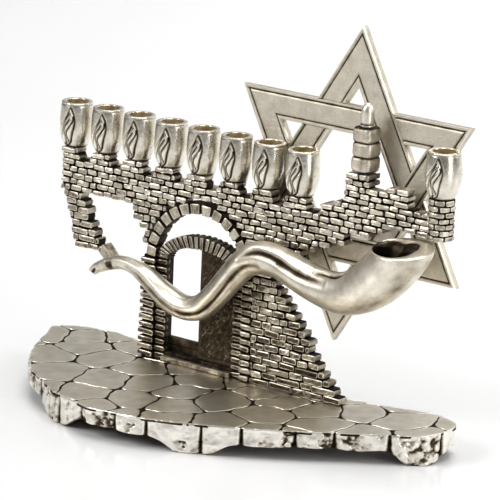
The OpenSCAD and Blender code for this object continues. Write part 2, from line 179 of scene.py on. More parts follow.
def perimeter(rows, cols):
    """Places round the edge of a grid, in order."""
    first_row = list(range(cols))
    last_col = [r * cols + cols - 1 for r in range(1, rows)]
    last_row = [(rows - 1) * cols + c for c in range(cols - 2, -1, -1)]
    first_col = [r * cols for r in range(rows - 2, 0, -1)]
    return first_row + last_col + last_row + first_col


@lru_cache(maxsize=None)
def shell(*sizes):
    """Grid places on the skin of a box, and the faces between them."""
    places = [p for p in np.ndindex(*sizes) if any(n in (0, size - 1) for n, size in zip(p, sizes))]
    index = {p: n for n, p in enumerate(places)}
    low_corners = ((0, 0), (1, 0), (1, 1), (0, 1))
    high_corners = ((0, 0), (0, 1), (1, 1), (1, 0))
    faces = []
    for axis in range(3):
        first, second = (axis + 1) % 3, (axis + 2) % 3
        for a, b in product(range(sizes[first] - 1), range(sizes[second] - 1)):
            for level, corners in ((0, low_corners), (sizes[axis] - 1, high_corners)):
                at = {axis: level}
                quad = []
                for da, db in corners:
                    at[first], at[second] = a + da, b + db
                    quad.append(index[at[0], at[1], at[2]])
                faces.append(tuple(quad))
    return np.array(places), faces


def levels(low, high, bevel, inner):
    """A bevel's width in from both ends, and evenly spaced places between."""
    return np.concatenate([[low], np.linspace(low + bevel, high - bevel, inner), [high]])


def block(mesh, place, u, v, w, rng, bevel=0.5, rough=0.09, skew=0.16, side_wear=0.2,
          face_wear=1.0, tone=0.66):
    """A hewn block. u and v span its face and w runs inward from it; place turns (u, v, w) into points.

    tone is the wear of the face's middle as a share of its edges' wear.
    """
    bevel = min(bevel, (u[1] - u[0]) * 0.25, (v[1] - v[0]) * 0.25)
    us = levels(u[0], u[1], bevel, 5)
    vs = levels(v[0], v[1], bevel, 3)
    depth = w[1] - w[0]
    deep = min(2.2 * bevel, depth * 0.4)
    ws = np.array([w[0], w[0] + bevel * 0.8, w[0] + deep, w[1] - deep, w[1] - bevel * 0.8, w[1]])
    ijk, faces = shell(len(us), len(vs), len(ws))
    top = np.array([len(us) - 1, len(vs) - 1, len(ws) - 1])
    pts = np.stack([us[ijk[:, 0]], vs[ijk[:, 1]], ws[ijk[:, 2]]], axis=1)
    extreme = (ijk == 0) | (ijk == top)
    count = extreme.sum(axis=1)
    pull = np.where(count >= 3, 0.5, np.where(count == 2, 0.32, 0.0)) * bevel
    inward = np.where(ijk == 0, 1.0, -1.0) * extreme
    pts += inward * pull[:, None]
    share_u = (pts[:, 0] - u[0]) / (u[1] - u[0])
    share_v = (pts[:, 1] - v[0]) / (v[1] - v[0])
    corner = rng.uniform(-skew, skew, (2, 2, 3))
    corner[:, :, 2] *= 1.6
    on_front = ijk[:, 2] <= 1
    weights_u, weights_v = np.stack([1 - share_u, share_u]), np.stack([1 - share_v, share_v])
    moved = np.einsum("un,vn,uva->na", weights_u, weights_v, corner)
    moved[:, 2] *= on_front
    pts += moved
    on_face = (ijk[:, 2] == 0) | (ijk[:, 2] == top[2])
    pts[:, 2] += on_face * rng.normal(0, rough, len(pts)) + (ijk[:, 2] == 0) * rng.uniform(-0.05, 0.3)
    on_edge = on_face & (count >= 2)
    by_level = np.array([face_wear, face_wear * 0.6, side_wear, side_wear, face_wear * 0.6, face_wear])
    wear_and_shade = by_level[ijk[:, 2]] * np.where(on_face & ~on_edge, tone + rng.uniform(-0.1, 0.12), 1.0)
    wear_and_shade = wear_and_shade + rng.normal(0, 0.06, len(wear_and_shade)) + rng.uniform(-0.1, 0.06)
    mesh.add(place(pts[:, 0], pts[:, 1], pts[:, 2]), faces, wear_and_shade)


def box_skin(mesh, low, high, wear_and_shade):
    """A plain inner core that closes the gaps behind blocks."""
    (x0, y0, z0), (x1, y1, z1) = low, high
    points = [(x, y, z) for x in (x0, x1) for y in (y0, y1) for z in (z0, z1)]
    faces = [(0, 1, 3, 2), (4, 6, 7, 5), (0, 4, 5, 1), (2, 3, 7, 6), (0, 2, 6, 4), (1, 5, 7, 3)]
    mesh.add(points, faces, wear_and_shade)


def facing(x, z, y):
    """Blocks on the wall's face: u is X, v is Z and w is depth along Y."""
    return np.stack([x, y, z], axis=1)


def value_noise(points, scale, seed):
    """Smooth noise from -1 to 1 for an array of points: hashed values at the corners of cells, blended."""
    q = np.asarray(points, float) / scale
    cell = np.floor(q).astype(np.int64)
    t = q - cell
    t = t * t * (3 - 2 * t)
    total = np.zeros(len(q))
    dims = q.shape[1]
    for corner in range(2 ** dims):
        offset = np.array([(corner >> d) & 1 for d in range(dims)])
        key = np.full(len(q), seed, np.int64)
        for d in range(dims):
            key = key * 1000003 + (cell[:, d] + offset[d]) * (7919 + 104729 * d)
        key = (key ^ (key >> 13)) * 1274126177
        rand = ((key ^ (key >> 16)) & 0xFFFF) / 32767.5 - 1
        weight = np.prod(np.where(offset, t, 1 - t), axis=1)
        total += weight * rand
    return total


def layered_noise(points, scale, seed, layers=3):
    """Noise with finer and fainter layers added."""
    total = 0
    for n in range(layers):
        total = total + value_noise(points, scale / 2 ** n, seed + n) / 2 ** n
    return total / 1.6


# ---------------------------------------------------------------- materials

def new_material(name):
    material = bpy.data.materials.new(name)
    material.use_nodes = True
    tree = material.node_tree
    tree.nodes.clear()
    out = tree.nodes.new("ShaderNodeOutputMaterial")
    shader = tree.nodes.new("ShaderNodeBsdfPrincipled")
    tree.links.new(shader.outputs["BSDF"], out.inputs["Surface"])
    return material, tree, shader


def node(tree, kind, inputs=None, **settings):
    made = tree.nodes.new(kind)
    for key, value in settings.items():
        setattr(made, key, value)
    for key, value in (inputs or {}).items():
        if isinstance(value, bpy.types.NodeSocket):
            tree.links.new(value, made.inputs[key])
        else:
            made.inputs[key].default_value = value
    return made


def ramp(tree, value, stops):
    made = node(tree, "ShaderNodeValToRGB", {"Fac": value})
    elements = made.color_ramp.elements
    while len(elements) < len(stops):
        elements.new(0.5)
    for element, (place, colour) in zip(elements, stops):
        element.position = place
        element.color = (*colour, 1)
    return made.outputs["Color"]


def math_node(tree, kind, a, b, clamp=False):
    return node(tree, "ShaderNodeMath", {0: a, 1: b}, operation=kind, use_clamp=clamp).outputs[0]


def noise_node(tree, place, scale, detail):
    """Brightness of a noise texture over the given places."""
    made = node(tree, "ShaderNodeTexNoise", {"Vector": place, "Scale": scale, "Detail": detail})
    return made.outputs["Fac"]


DARK = (0.016, 0.012, 0.008)
BROWN = (0.11, 0.085, 0.055)
SILVER = (0.50, 0.45, 0.365)
BRIGHT = (0.84, 0.79, 0.68)


def antique_silver(name, low_rough, high_rough=0.42, grain=0.5, grain_scale=2200.0, mottle=0.25,
                   silver=SILVER, bright=BRIGHT, bump=0.05):
    """Plated metal with patina: the wear_and_shade attribute, which also carries painted shade and highlight,
    drives colour and roughness, noise breaks them up.
    """
    material, tree, shader = new_material(name)
    wear_and_shade = node(tree, "ShaderNodeVertexColor", layer_name="wear_and_shade").outputs["Color"]
    place = node(tree, "ShaderNodeTexCoord").outputs["Object"]
    fine = noise_node(tree, place, grain_scale, 4.0)
    broad = noise_node(tree, place, 160.0, 5.0)
    fine_part = math_node(tree, "MULTIPLY", math_node(tree, "SUBTRACT", fine, 0.5), grain)
    broad_part = math_node(tree, "MULTIPLY", math_node(tree, "SUBTRACT", broad, 0.5), mottle * 2)
    mixed = math_node(tree, "ADD", math_node(tree, "ADD", wear_and_shade, fine_part), broad_part, clamp=True)
    colour = ramp(tree, mixed, [(0.0, DARK), (0.32, BROWN), (0.62, silver), (1.0, bright)])
    rough = node(tree, "ShaderNodeMapRange",
                 {"Value": mixed, "From Min": 0.0, "From Max": 1.0, "To Min": 0.62, "To Max": low_rough})
    spread = math_node(tree, "MULTIPLY", broad, high_rough - low_rough)
    tree.links.new(colour, shader.inputs["Base Color"])
    tree.links.new(math_node(tree, "ADD", rough.outputs[0], spread), shader.inputs["Roughness"])
    shader.inputs["Metallic"].default_value = 1.0
    height = node(tree, "ShaderNodeBump", {"Strength": bump, "Distance": 0.0004, "Height": fine})
    tree.links.new(height.outputs["Normal"], shader.inputs["Normal"])
    return material


brick_silver = antique_silver("brick_silver", low_rough=0.27, grain=0.42, mottle=0.34, bump=0.3,
                              grain_scale=1500.0)
dark_silver = antique_silver("dark_silver", low_rough=0.38, grain=0.35, mottle=0.12, bump=0.3,
                             grain_scale=1600.0)
paving_silver = antique_silver("paving_silver", low_rough=0.2, high_rough=0.32, grain=0.12, mottle=0.18)
rim_silver = antique_silver("rim_silver", low_rough=0.18, grain=0.25, bump=0.15,
                            silver=(0.60, 0.55, 0.46), bright=(0.94, 0.91, 0.84))
horn_silver = antique_silver("horn_silver", low_rough=0.27, high_rough=0.38, grain=0.18, mottle=0.22,
                             bump=0.06, grain_scale=1400.0)
star_silver = antique_silver("star_silver", low_rough=0.32, grain=0.55, mottle=0.3, bump=0.35,
                             bright=(0.72, 0.67, 0.57), grain_scale=1800.0)
cup_silver = antique_silver("cup_silver", low_rough=0.16, high_rough=0.25, grain=0.07, mottle=0.16,
                            bump=0.02, silver=(0.46, 0.42, 0.34), bright=(0.80, 0.76, 0.67))


def clouded_metal(name, scale, detail, stops, low_rough, high_rough, metallic):
    """Metal whose colour and roughness follow one soft noise."""
    material, tree, shader = new_material(name)
    noise = noise_node(tree, node(tree, "ShaderNodeTexCoord").outputs["Object"], scale, detail)
    rough = node(tree, "ShaderNodeMapRange", {"Value": noise, "To Min": low_rough, "To Max": high_rough})
    tree.links.new(ramp(tree, noise, stops), shader.inputs["Base Color"])
    tree.links.new(rough.outputs[0], shader.inputs["Roughness"])
    shader.inputs["Metallic"].default_value = metallic
    return material


bore_tan = clouded_metal("bore_tan", 420.0, 6.0, [(0.25, (0.36, 0.26, 0.12)), (0.75, (0.72, 0.57, 0.32))],
                         0.3, 0.6, 0.85)
zinc = clouded_metal("zinc", 900.0, 5.0, [(0.2, (0.33, 0.33, 0.34)), (0.8, (0.58, 0.58, 0.58))],
                     0.25, 0.45, 1.0)


# ---------------------------------------------------------------- the brick wall

GAP = 0.7                              # joint between bricks
CORE_SINK = 0.9                        # the dark core's face, below the bricks' faces
CORE_SHY = 0.8                         # and its end, short of a free edge
CORE_OVERLAP = 0.2                     # how far neighbouring cores reach into each other
NOTCH_Z = SEAT - 5.5                   # floor of the battlements' notches
BAND_LOW = SEAT - 20.5                 # underside of the band that carries the battlements
ARCH_Z = SEAT - 43                     # springing of both arches
RING = 5.2                             # depth of the arch stones
JAMB_W = {-1: 7.0, 1: 5.2}             # width of the quoins on the gateway's left and right
JAMB_STONE_H = 3.3
SERVANT_X = middle_of("servant_cup")[0]
PIER_R = 6.15                          # radius of the pier under the ninth cup
PIER_LOW = SEAT - 6.3                  # its underside
COLUMN_R = 5.0                         # radius of the columns behind the battlements


def in_gate_surround(x, z):
    """The arch ring and the outer jambs are laid separately."""
    if z >= ARCH_Z:
        return math.hypot(x - GATE_X, z - ARCH_Z) < ARCH_R + RING + 0.4
    return abs(x - GATE_X) < ARCH_R + JAMB_W[-1 if x < GATE_X else 1]


def wall_here(x, z):
    """True where the wall has a face at the front, apart from the gate's surround and the round pier."""
    if z > PIER_LOW - 0.5 and x > SERVANT_X - 2.5:
        return False
    hit = wall_probe.front(x, z)
    return hit is not None and hit < WALL_FRONT + 0.4 and not in_gate_surround(x, z)


def runs(z0, z1, left, right):
    """Stretches of wall along X, between two places, for the course between two heights."""
    step = 0.25
    found = []
    start = None
    for x in np.arange(left, right + step, step):
        inside = x < right and wall_here(x, z0 + 0.3 * (z1 - z0)) and wall_here(x, z0 + 0.7 * (z1 - z0))
        if inside and start is None:
            start = x
        if not inside and start is not None:
            found.append((start, x - step))
            start = None
    return [r for r in found if r[1] - r[0] > 1.0]


def lowest(x):
    """Height of the wall's underside at a place in the hanging corner."""
    z = PAVING + 5
    while wall_probe.front(x, z) is None:
        z += 0.1
    return z


def courses():
    """(low, high, left, right) of every course. The hanging corner on the left has its own."""
    left, split, right = FIRST_X - 8, along(1.85), along(11.05)
    rows = []
    for heights, x0, x1 in ((np.linspace(lowest(along(0.6)), BAND_LOW, 9), left, split),
                            (np.linspace(PAVING, BAND_LOW, 22), split, right),
                            (np.linspace(BAND_LOW, NOTCH_Z, 6), left, right),
                            (np.arange(NOTCH_Z, SEAT + 18, 2.75), left, right)):
        rows += [(a, b, x0, x1) for a, b in pairwise(heights)]
    return rows


def brick_length(x, z):
    """Bricks are long at the wall's foot and in the hanging corner, and short in the band."""
    if x > GATE_X and z < PAVING + 13:
        return 10.0
    if x < along(1.7) and z < BAND_LOW:
        return 8.0
    return 6.6 if z < BAND_LOW else 5.9


def brick_tone(z):
    """Bricks are darker low on the wall and lighter at the top."""
    return 0.33 + 0.34 * min(1.0, max(0.0, (z - PAVING) / WALL_H))


def lay_wall(mesh, rng):
    """Bricks in every course, wherever the wall has a face, with a dark core behind each."""
    for n, (z0, z1, left_end, right_end) in enumerate(courses()):
        for x0, x1 in runs(z0, z1, left_end, right_end):
            joints = split_run(x0, x1, brick_length((x0 + x1) / 2, z0), n, rng)
            for a, b in pairwise(joints):
                left = a + GAP / 2 - (rng.uniform(-0.3, 0.45) if a == x0 else 0)
                right = b - GAP / 2 + (rng.uniform(-0.3, 0.45) if b == x1 else 0)
                middle = (a + b) / 2
                next_course = 0.75 * (z1 - z0)
                open_top = not wall_here(middle, z1 + next_course)
                open_foot = not wall_here(middle, z0 - next_course)
                free = a == x0 or b == x1 or open_top or open_foot
                wobble = 0.22 * math.sin(a * 0.35 + n)
                block(mesh, facing, (left, right), (z0 + GAP / 2 + wobble, z1 - GAP / 2 + wobble),
                      (WALL_FRONT + rng.uniform(-0.15, 0.15), wall_depth(middle, (z0 + z1) / 2)), rng,
                      side_wear=0.5 if free else 0.16, tone=brick_tone(z0), rough=0.14, skew=0.24)
                core_low = z0 + (CORE_SHY if open_foot else -CORE_OVERLAP)
                core_high = z1 - (CORE_SHY if open_top else -CORE_OVERLAP)
                box_skin(mesh, (a + 0.6 * (a == x0), WALL_FRONT + CORE_SINK, core_low),
                         (b - 0.6 * (b == x1), WALL_BACK - CORE_SINK, core_high), 0.0)


def lay_toe(mesh, rng):
    """The slanting stone at the foot of the hanging corner, which reaches down behind the horn."""
    x0, z0 = along(1.02), lowest(along(0.6)) + 1.4
    slope = math.radians(-48)

    def leaning(u, v, y):
        x = x0 + u * math.cos(slope) - v * math.sin(slope)
        return facing(x, z0 + u * math.sin(slope) + v * math.cos(slope), y)
    block(mesh, leaning, (0, 7.4), (-0.4, 4.2), (WALL_FRONT + 0.1, WALL_BACK), rng, side_wear=0.45,
          tone=0.6, rough=0.16, skew=0.3)


def wall_depth(x, z):
    """Where a brick ends at the back: deeper in the tower's stump, short of the columns and the ledge."""
    back = wall_probe.back(x, z)
    if back is None or x < along(7.6):
        return WALL_BACK
    return max(back, WALL_BACK)


def split_run(x0, x1, length, n, rng):
    """Joints of one run, in a wandering running bond."""
    offset = (n % 2) * length / 2
    k0 = math.floor((x0 - offset) / length) - 1
    k1 = math.ceil((x1 - offset) / length) + 1
    places = [k * length + offset + rng.uniform(-0.22, 0.22) * length for k in range(k0, k1 + 1)]
    shortest = 1.8
    return [x0] + [p for p in places if x0 + shortest < p < x1 - shortest] + [x1]


def ring_place(cx, cz):
    """Blocks round an arch: u is the angle in radians, v the radius and w the depth."""
    def place(angle, radius, y):
        return np.stack([cx + radius * np.cos(angle), y, cz + radius * np.sin(angle)], axis=1)
    return place


def lay_arch(mesh, rng):
    """The wedge stones of the outer arch round a dark core."""
    stones = 14
    ring = ring_place(GATE_X, ARCH_Z)
    angles = np.linspace(0, PI, stones + 1)
    for a, b in pairwise(angles):
        squeeze = rng.uniform(0.6, 0.9) / ARCH_R
        ring_block(mesh, ring, (a + squeeze, b - squeeze), (ARCH_R + 0.05, ARCH_R + RING - 0.35),
                   (WALL_FRONT - 0.55, WALL_BACK), rng, side_wear=0.16, bevel=0.4,
                   rough=0.07, tone=0.6)
    arch_core(mesh, ring, ARCH_R + 0.6, ARCH_R + RING + 0.3, WALL_FRONT + 0.5, WALL_BACK - 0.6, 40, 0.0)


def arch_core(mesh, place, inner, outer, near, far, steps, wear_and_shade, flip=False):
    """The dark core behind the stones of an arch: a square bar bent round it."""
    points = np.concatenate([place(np.array([t]), r, np.array([y])) for t in np.linspace(0, PI, steps)
                             for r, y in ((inner, near), (outer, near), (outer, far), (inner, far))])
    ends = [cap(0, 4), cap(len(points) - 4, 4)[::-1]]
    faces = grid_faces(steps, 4, close_cols=True, flip=flip)
    mesh.add(points, faces + [end[::-1] if flip else end for end in ends], wear_and_shade)


def ring_block(mesh, place, angle, radius, depth, rng, **kinds):
    """A wedge stone: the same block, with its angle measured as length so that its bevels stay true."""
    mean = sum(radius) / 2

    def wedge(length, r, y):
        return place(length / mean, r, y)
    block(mesh, wedge, (angle[0] * mean, angle[1] * mean), radius, depth, rng, **kinds)


def jamb_stones():
    """Low and high edge of every stone up a jamb."""
    zs = np.linspace(PAVING, ARCH_Z, int((ARCH_Z - PAVING) / JAMB_STONE_H) + 1)
    return list(pairwise(zs))


def lay_jambs(mesh, rng):
    """Quoins up both outer jambs, one stone wide. The left ones spread towards the foot."""
    stones = jamb_stones()
    for side, width in JAMB_W.items():
        for n, (z0, z1) in enumerate(stones):
            outer = width + (0.8 if n % 2 else 0) + (1.5 * (1 - n / len(stones)) if side < 0 else 0)
            near, far = GATE_X + side * (ARCH_R + 0.05), GATE_X + side * (ARCH_R + outer)
            block(mesh, facing, (min(near, far), max(near, far)), (z0 + 0.6, z1 - 0.6),
                  (WALL_FRONT - 0.45 + rng.uniform(-0.15, 0.15), WALL_BACK), rng, side_wear=0.18,
                  tone=brick_tone(z0), rough=0.13, skew=0.24)
        inner, outer = sorted((GATE_X + side * (ARCH_R + 0.5), GATE_X + side * (ARCH_R + width)))
        box_skin(mesh, (inner, WALL_FRONT + CORE_SINK, PAVING),
                 (outer, WALL_BACK - CORE_SINK, ARCH_Z + 0.5), 0.0)


def lay_columns(mesh, rng):
    """The round column behind each block of the battlements, and the ledge that ties them."""
    core_r, core_top = COLUMN_R - 0.7, SEAT - 0.15
    course_h = 2.8
    for n in range(8):
        for level in range(2):
            z0 = SEAT - 2 * course_h + level * course_h
            pier_course(mesh, along(n), COLUMN_R - 0.05, z0, z0 + course_h, n + level * 0.5, rng)
        lathe(mesh, along(n), CUP_Y, [(core_r, SEAT - 8), (core_r, core_top), (0.05, core_top)], 24, 0.05)
    heights = [NOTCH_Z - 5.0, NOTCH_Z - 2.5, NOTCH_Z]
    for n, (z0, z1) in enumerate(pairwise(heights)):
        joints = split_run(along(0) - 4.4, along(7.4), 7.0, n, rng)
        for a, b in pairwise(joints):
            block(mesh, facing, (a + GAP / 2, b - GAP / 2), (z0 + GAP / 2, z1 - GAP / 2),
                  (WALL_BACK - 1.0, CUP_Y + COLUMN_R + 0.45), rng, side_wear=0.5)
    box_skin(mesh, (along(0) - 3.8, WALL_FRONT + CORE_SINK, SEAT - 10),
             (along(7.35), CUP_Y + 4.6, SEAT - 6.1), 0.0)


def pier_course(mesh, x, radius, z0, z1, turn, rng):
    """One ring of seven bricks round a pier or a column."""
    count, depth = 7, 1.6
    arc = 2 * PI / count

    def place(length, z, inward):
        angle = length / radius
        r = radius - inward
        return np.stack([x + r * np.sin(angle), CUP_Y - r * np.cos(angle), z], axis=1)
    for k in range(count):
        a = (k + turn + rng.uniform(-0.1, 0.1)) * arc * radius
        b = a + arc * radius
        block(mesh, place, (a + GAP / 2, b - GAP / 2), (z0 + GAP / 2, z1 - GAP / 2), (0, depth), rng)


def turned(cx, cy, outline, count):
    """Rings of points about an upright axis, one for each (radius, height)."""
    angles = np.linspace(0, 2 * PI, count, endpoint=False)
    return [(cx + r * math.sin(a), cy - r * math.cos(a), z) for r, z in outline for a in angles]


def lathe(mesh, cx, cy, outline, count, wear_and_shade):
    """A turned solid, closed at both ends."""
    points = turned(cx, cy, outline, count)
    faces = grid_faces(len(outline), count, close_cols=True)
    faces += [cap(0, count)[::-1], cap((len(outline) - 1) * count, count)]
    mesh.add(points, faces, wear_and_shade)


def lay_servant_pier(mesh, rng):
    """The pier under the ninth cup: seven rings of bricks round a dark core."""
    top = box_mm("servant_cup")[0][2]
    core_r = PIER_R - 0.95
    zs = np.linspace(PIER_LOW, top, 7 + 1)
    for n, (z0, z1) in enumerate(pairwise(zs)):
        pier_course(mesh, SERVANT_X, PIER_R, z0, z1, 0.5 * (n % 2), rng)
    lathe(mesh, SERVANT_X, CUP_Y, [(core_r, PIER_LOW + 0.3), (core_r, top - 0.2)], 32, 0.03)


wall_mesh = Mesh()
wall_rng = np.random.default_rng(7)
for lay in (lay_wall, lay_toe, lay_arch, lay_jambs, lay_columns, lay_servant_pier):
    lay(wall_mesh, wall_rng)
wall_mesh.build("wall_bricks", brick_silver, ["wall"])


# ---------------------------------------------------------------- gate frame and door leaf

GATE_FRONT = WALL_FRONT + 1.0
GATE_BACK = GATE_HIGH[1]
LEAF_LOW, LEAF_HIGH = box_mm("gate_leaf")
GATE_JAMB = GATE_HIGH[0] - LEAF_HIGH[0]
OPENING = ARCH_R - GATE_JAMB           # half the width of the gateway
CROWN = GATE_HIGH[2] - ARCH_Z          # rise of the inner arch's outside
INNER_RING = 6.0


def flat_arch_place(angle, depth_in, y):
    """Round the flat arch: angle along it, distance in from its outside, depth."""
    share = depth_in / INNER_RING
    half = ARCH_R - 0.05 - share * GATE_JAMB
    rise = CROWN - share * INNER_RING
    return np.stack([GATE_X + half * np.cos(angle), y, ARCH_Z + rise * np.sin(angle)], axis=1)


def lay_gate(mesh, rng):
    """The inner gate's jambs and its flat arch, each with a dark core behind its stones."""
    for side in (-1, 1):
        edges = tuple(sorted((GATE_X + side * (OPENING + 0.02), GATE_X + side * (ARCH_R - 0.3))))
        for z0, z1 in jamb_stones():
            block(mesh, facing, edges, (z0 + 0.65, z1 - 0.65),
                  (GATE_FRONT + rng.uniform(-0.1, 0.2), GATE_FRONT + 3.2), rng, face_wear=0.75,
                  side_wear=0.12, tone=brick_tone(z0), rough=0.13, skew=0.24)
        inner, outer = sorted((GATE_X + side * (OPENING + 0.3), GATE_X + side * (ARCH_R - 0.1)))
        box_skin(mesh, (inner, GATE_FRONT + 0.9, PAVING), (outer, GATE_BACK - 0.9, ARCH_Z + 1), 0.0)
    stones = 23
    angles = np.linspace(0.02, PI - 0.02, stones + 1)
    scale = (ARCH_R + CROWN) / 2

    def wedge(length, depth_in, y):
        return flat_arch_place(length / scale, depth_in, y)
    for a, b in pairwise(angles):
        block(mesh, wedge, (a * scale + 0.5, b * scale - 0.5), (0.05, INNER_RING - 0.05),
              (GATE_FRONT + rng.uniform(-0.1, 0.2), GATE_BACK - 0.1), rng, face_wear=0.8, skew=0.12,
              side_wear=0.16, tone=0.55)
    arch_core(mesh, flat_arch_place, 0.4, INNER_RING - 0.5, GATE_FRONT + 0.8, GATE_BACK - 0.8, 48, 0.06,
              flip=True)


def plank(mesh, x, y, z, wear_and_shade):
    """A worn bar along X: a rounded rectangle swept with a little unevenness."""
    steps, rough, r = 40, 0.12, 0.45
    outline = []
    for cy, cz, start in ((y[1], z[1], 0), (y[0], z[1], 1), (y[0], z[0], 2), (y[1], z[0], 3)):
        for k in range(3):
            a = (start + k / 2) * PI / 2
            my = cy - r if start in (0, 3) else cy + r
            mz = cz - r if start in (0, 1) else cz + r
            outline.append((my + r * math.cos(a), mz + r * math.sin(a)))
    outline = np.array(outline)
    xs = np.linspace(x[0], x[1], steps)
    points = np.array([(px, oy, oz) for px in xs for oy, oz in outline])
    points[:, 1:] += np.stack([value_noise(points, 2.5, 11), value_noise(points, 2.5, 17)], axis=1) * rough
    shade = wear_and_shade + 0.25 * layered_noise(points, 3.0, 5)
    n = len(outline)
    faces = grid_faces(steps, n, close_cols=True)
    faces += [cap(0, n)[::-1], cap((steps - 1) * n, n)]
    mesh.add(points, faces, shade)


def threshold(mesh):
    """The step, the sill, the back step and the rail, from front to back."""
    x = (GATE_X - OPENING - 0.4, GATE_X + OPENING + 0.4)
    plank(mesh, x, (GATE_FRONT - 1.35, GATE_FRONT + 1.4), (PAVING, PAVING + 2.35), 0.5)
    plank(mesh, x, (GATE_FRONT + 1.1, GATE_FRONT + 4.6), (PAVING, PAVING + 4.1), 0.04)
    plank(mesh, x, (GATE_FRONT + 4.5, GATE_BACK - 0.05), (PAVING, PAVING + 7.0), 0.04)
    plank(mesh, x, (GATE_FRONT + 4.3, GATE_BACK - 0.02), (PAVING + 7.2, PAVING + 10.7), 0.14)


gate_mesh = Mesh()
gate_rng = np.random.default_rng(21)
lay_gate(gate_mesh, gate_rng)
threshold(gate_mesh)
gate_mesh.build("gate_stones", brick_silver, ["gate_frame"])


def door_leaf():
    """The dark leaf: a plate that follows the flat arch, with slanting chisel cuts on both faces."""
    mesh = Mesh()
    x0, x1 = LEAF_LOW[0], LEAF_HIGH[0]
    z0 = LEAF_LOW[2]
    cols, rows = 60, 150
    for side, y in ((-1, LEAF_LOW[1]), (1, LEAF_HIGH[1])):
        xs = np.linspace(x0, x1, cols)
        tops = ARCH_Z + (CROWN - INNER_RING - 0.05) * np.sqrt(
            np.clip(1 - ((xs - GATE_X) / (OPENING - 0.02)) ** 2, 0.0, 1))
        shares = np.linspace(0, 1, rows)
        grid = np.array([(x, y, z0 + (top - z0) * r) for r in shares for x, top in zip(xs, tops)])
        cut = chisel(grid)
        rim = np.minimum.reduce([grid[:, 0] - x0, x1 - grid[:, 0], grid[:, 2] - z0])
        cut = np.where(rim < 1.1, 0.55, cut)
        grid[:, 1] -= side * 0.35 * (1 - cut)
        faces = grid_faces(rows, cols, flip=side > 0)
        mesh.add(grid, faces, 0.1 + 0.34 * cut ** 2)
    n = rows * cols
    edge = perimeter(rows, cols)
    for a, b in zip(edge, edge[1:] + edge[:1]):
        mesh.faces.append((b, a, a + n, b + n))
    mesh.build("door_leaf", dark_silver, ["gate_leaf"])


def chisel(points):
    """Short slanting strokes and a hammered grain, from 0 in the cuts to 1 on the ridges."""
    flat = points[:, [0, 2]]
    slanted = flat @ np.array([[0.8, 0.5], [-0.6, 0.3]])
    strokes = value_noise(slanted, 0.8, 3)
    grain = value_noise(flat, 0.55, 9)
    return np.clip(0.42 + 0.45 * strokes + 0.35 * grain, 0, 1)


door_leaf()


# ---------------------------------------------------------------- tower

def tower():
    """Three lumpy, rounded-square drums."""
    low, high = box_mm("tower_turret")
    cx, cy, _ = middle_of("tower_turret")
    half = (high[0] - low[0]) / 2
    mesh = Mesh()
    drum = (high[2] - low[2]) / 3
    around, tall, squareness = 64, 15, 4.5
    for n in range(3):
        rng = np.random.default_rng(40 + n)
        points, wear_and_shade = [], []
        lean = rng.uniform(-0.25, 0.25, 2)
        for j in range(tall):
            t = j / (tall - 1)
            swell = 1 - 0.13 * abs(2 * t - 1) ** 5 - 0.02 * n
            for k in range(around):
                a = 2 * PI * k / around
                c, s = math.cos(a), math.sin(a)
                r = half * 0.97 * swell / (abs(c) ** squareness + abs(s) ** squareness) ** (1 / squareness)
                points.append((cx + lean[0] + r * c, cy + lean[1] + r * s, low[2] + drum * (n + t)))
                wear_and_shade.append(1 - abs(2 * t - 1) ** 7)
        points = np.array(points)
        lumps = layered_noise(points, 4.0, 60 + n)
        shrink = 1 - 0.05 * np.abs(lumps)
        points[:, 0] = cx + (points[:, 0] - cx) * shrink
        points[:, 1] = cy + (points[:, 1] - cy) * shrink
        faces = grid_faces(tall, around, close_cols=True)
        faces += [cap(0, around)[::-1], cap((tall - 1) * around, around)]
        mesh.add(points, faces, np.array(wear_and_shade) * (0.8 - 0.35 * np.abs(lumps)))
    mesh.build("tower_drums", brick_silver, ["tower_turret"])


def finial():
    """A collar and a bullet-shaped cap, turned."""
    low, high = box_mm("tower_finial")
    cx, cy, _ = middle_of("tower_finial")
    r = (high[0] - low[0]) / 2
    height = high[2] - low[2]
    mesh = Mesh()
    outline = [(0.02, 0), (r * 0.8, 0), (r * 0.97, 0.35), (r, 0.8), (r * 0.94, 1.2), (r * 0.9, 1.5)]
    dome = 1.35 * r
    shoulder = height - dome
    outline += [(r * 0.93, 1.5 + (shoulder - 1.5) * k / 6) for k in range(1, 7)]
    outline += [(r * 0.93 * math.cos(a), shoulder + dome * math.sin(a))
                for a in np.linspace(0.1, PI / 2 - 0.02, 12)]
    wear_and_shade = []
    for radius, z in outline:
        wear_and_shade += [0.25 if 1.0 < z < 1.7 or z < 0.2 else 0.95] * 48
    lathe(mesh, cx, cy, [(a, low[2] + z) for a, z in outline], 48, np.array(wear_and_shade))
    mesh.build("finial_cap", horn_silver, ["tower_finial"])


tower()
finial()


# ---------------------------------------------------------------- ram's horn

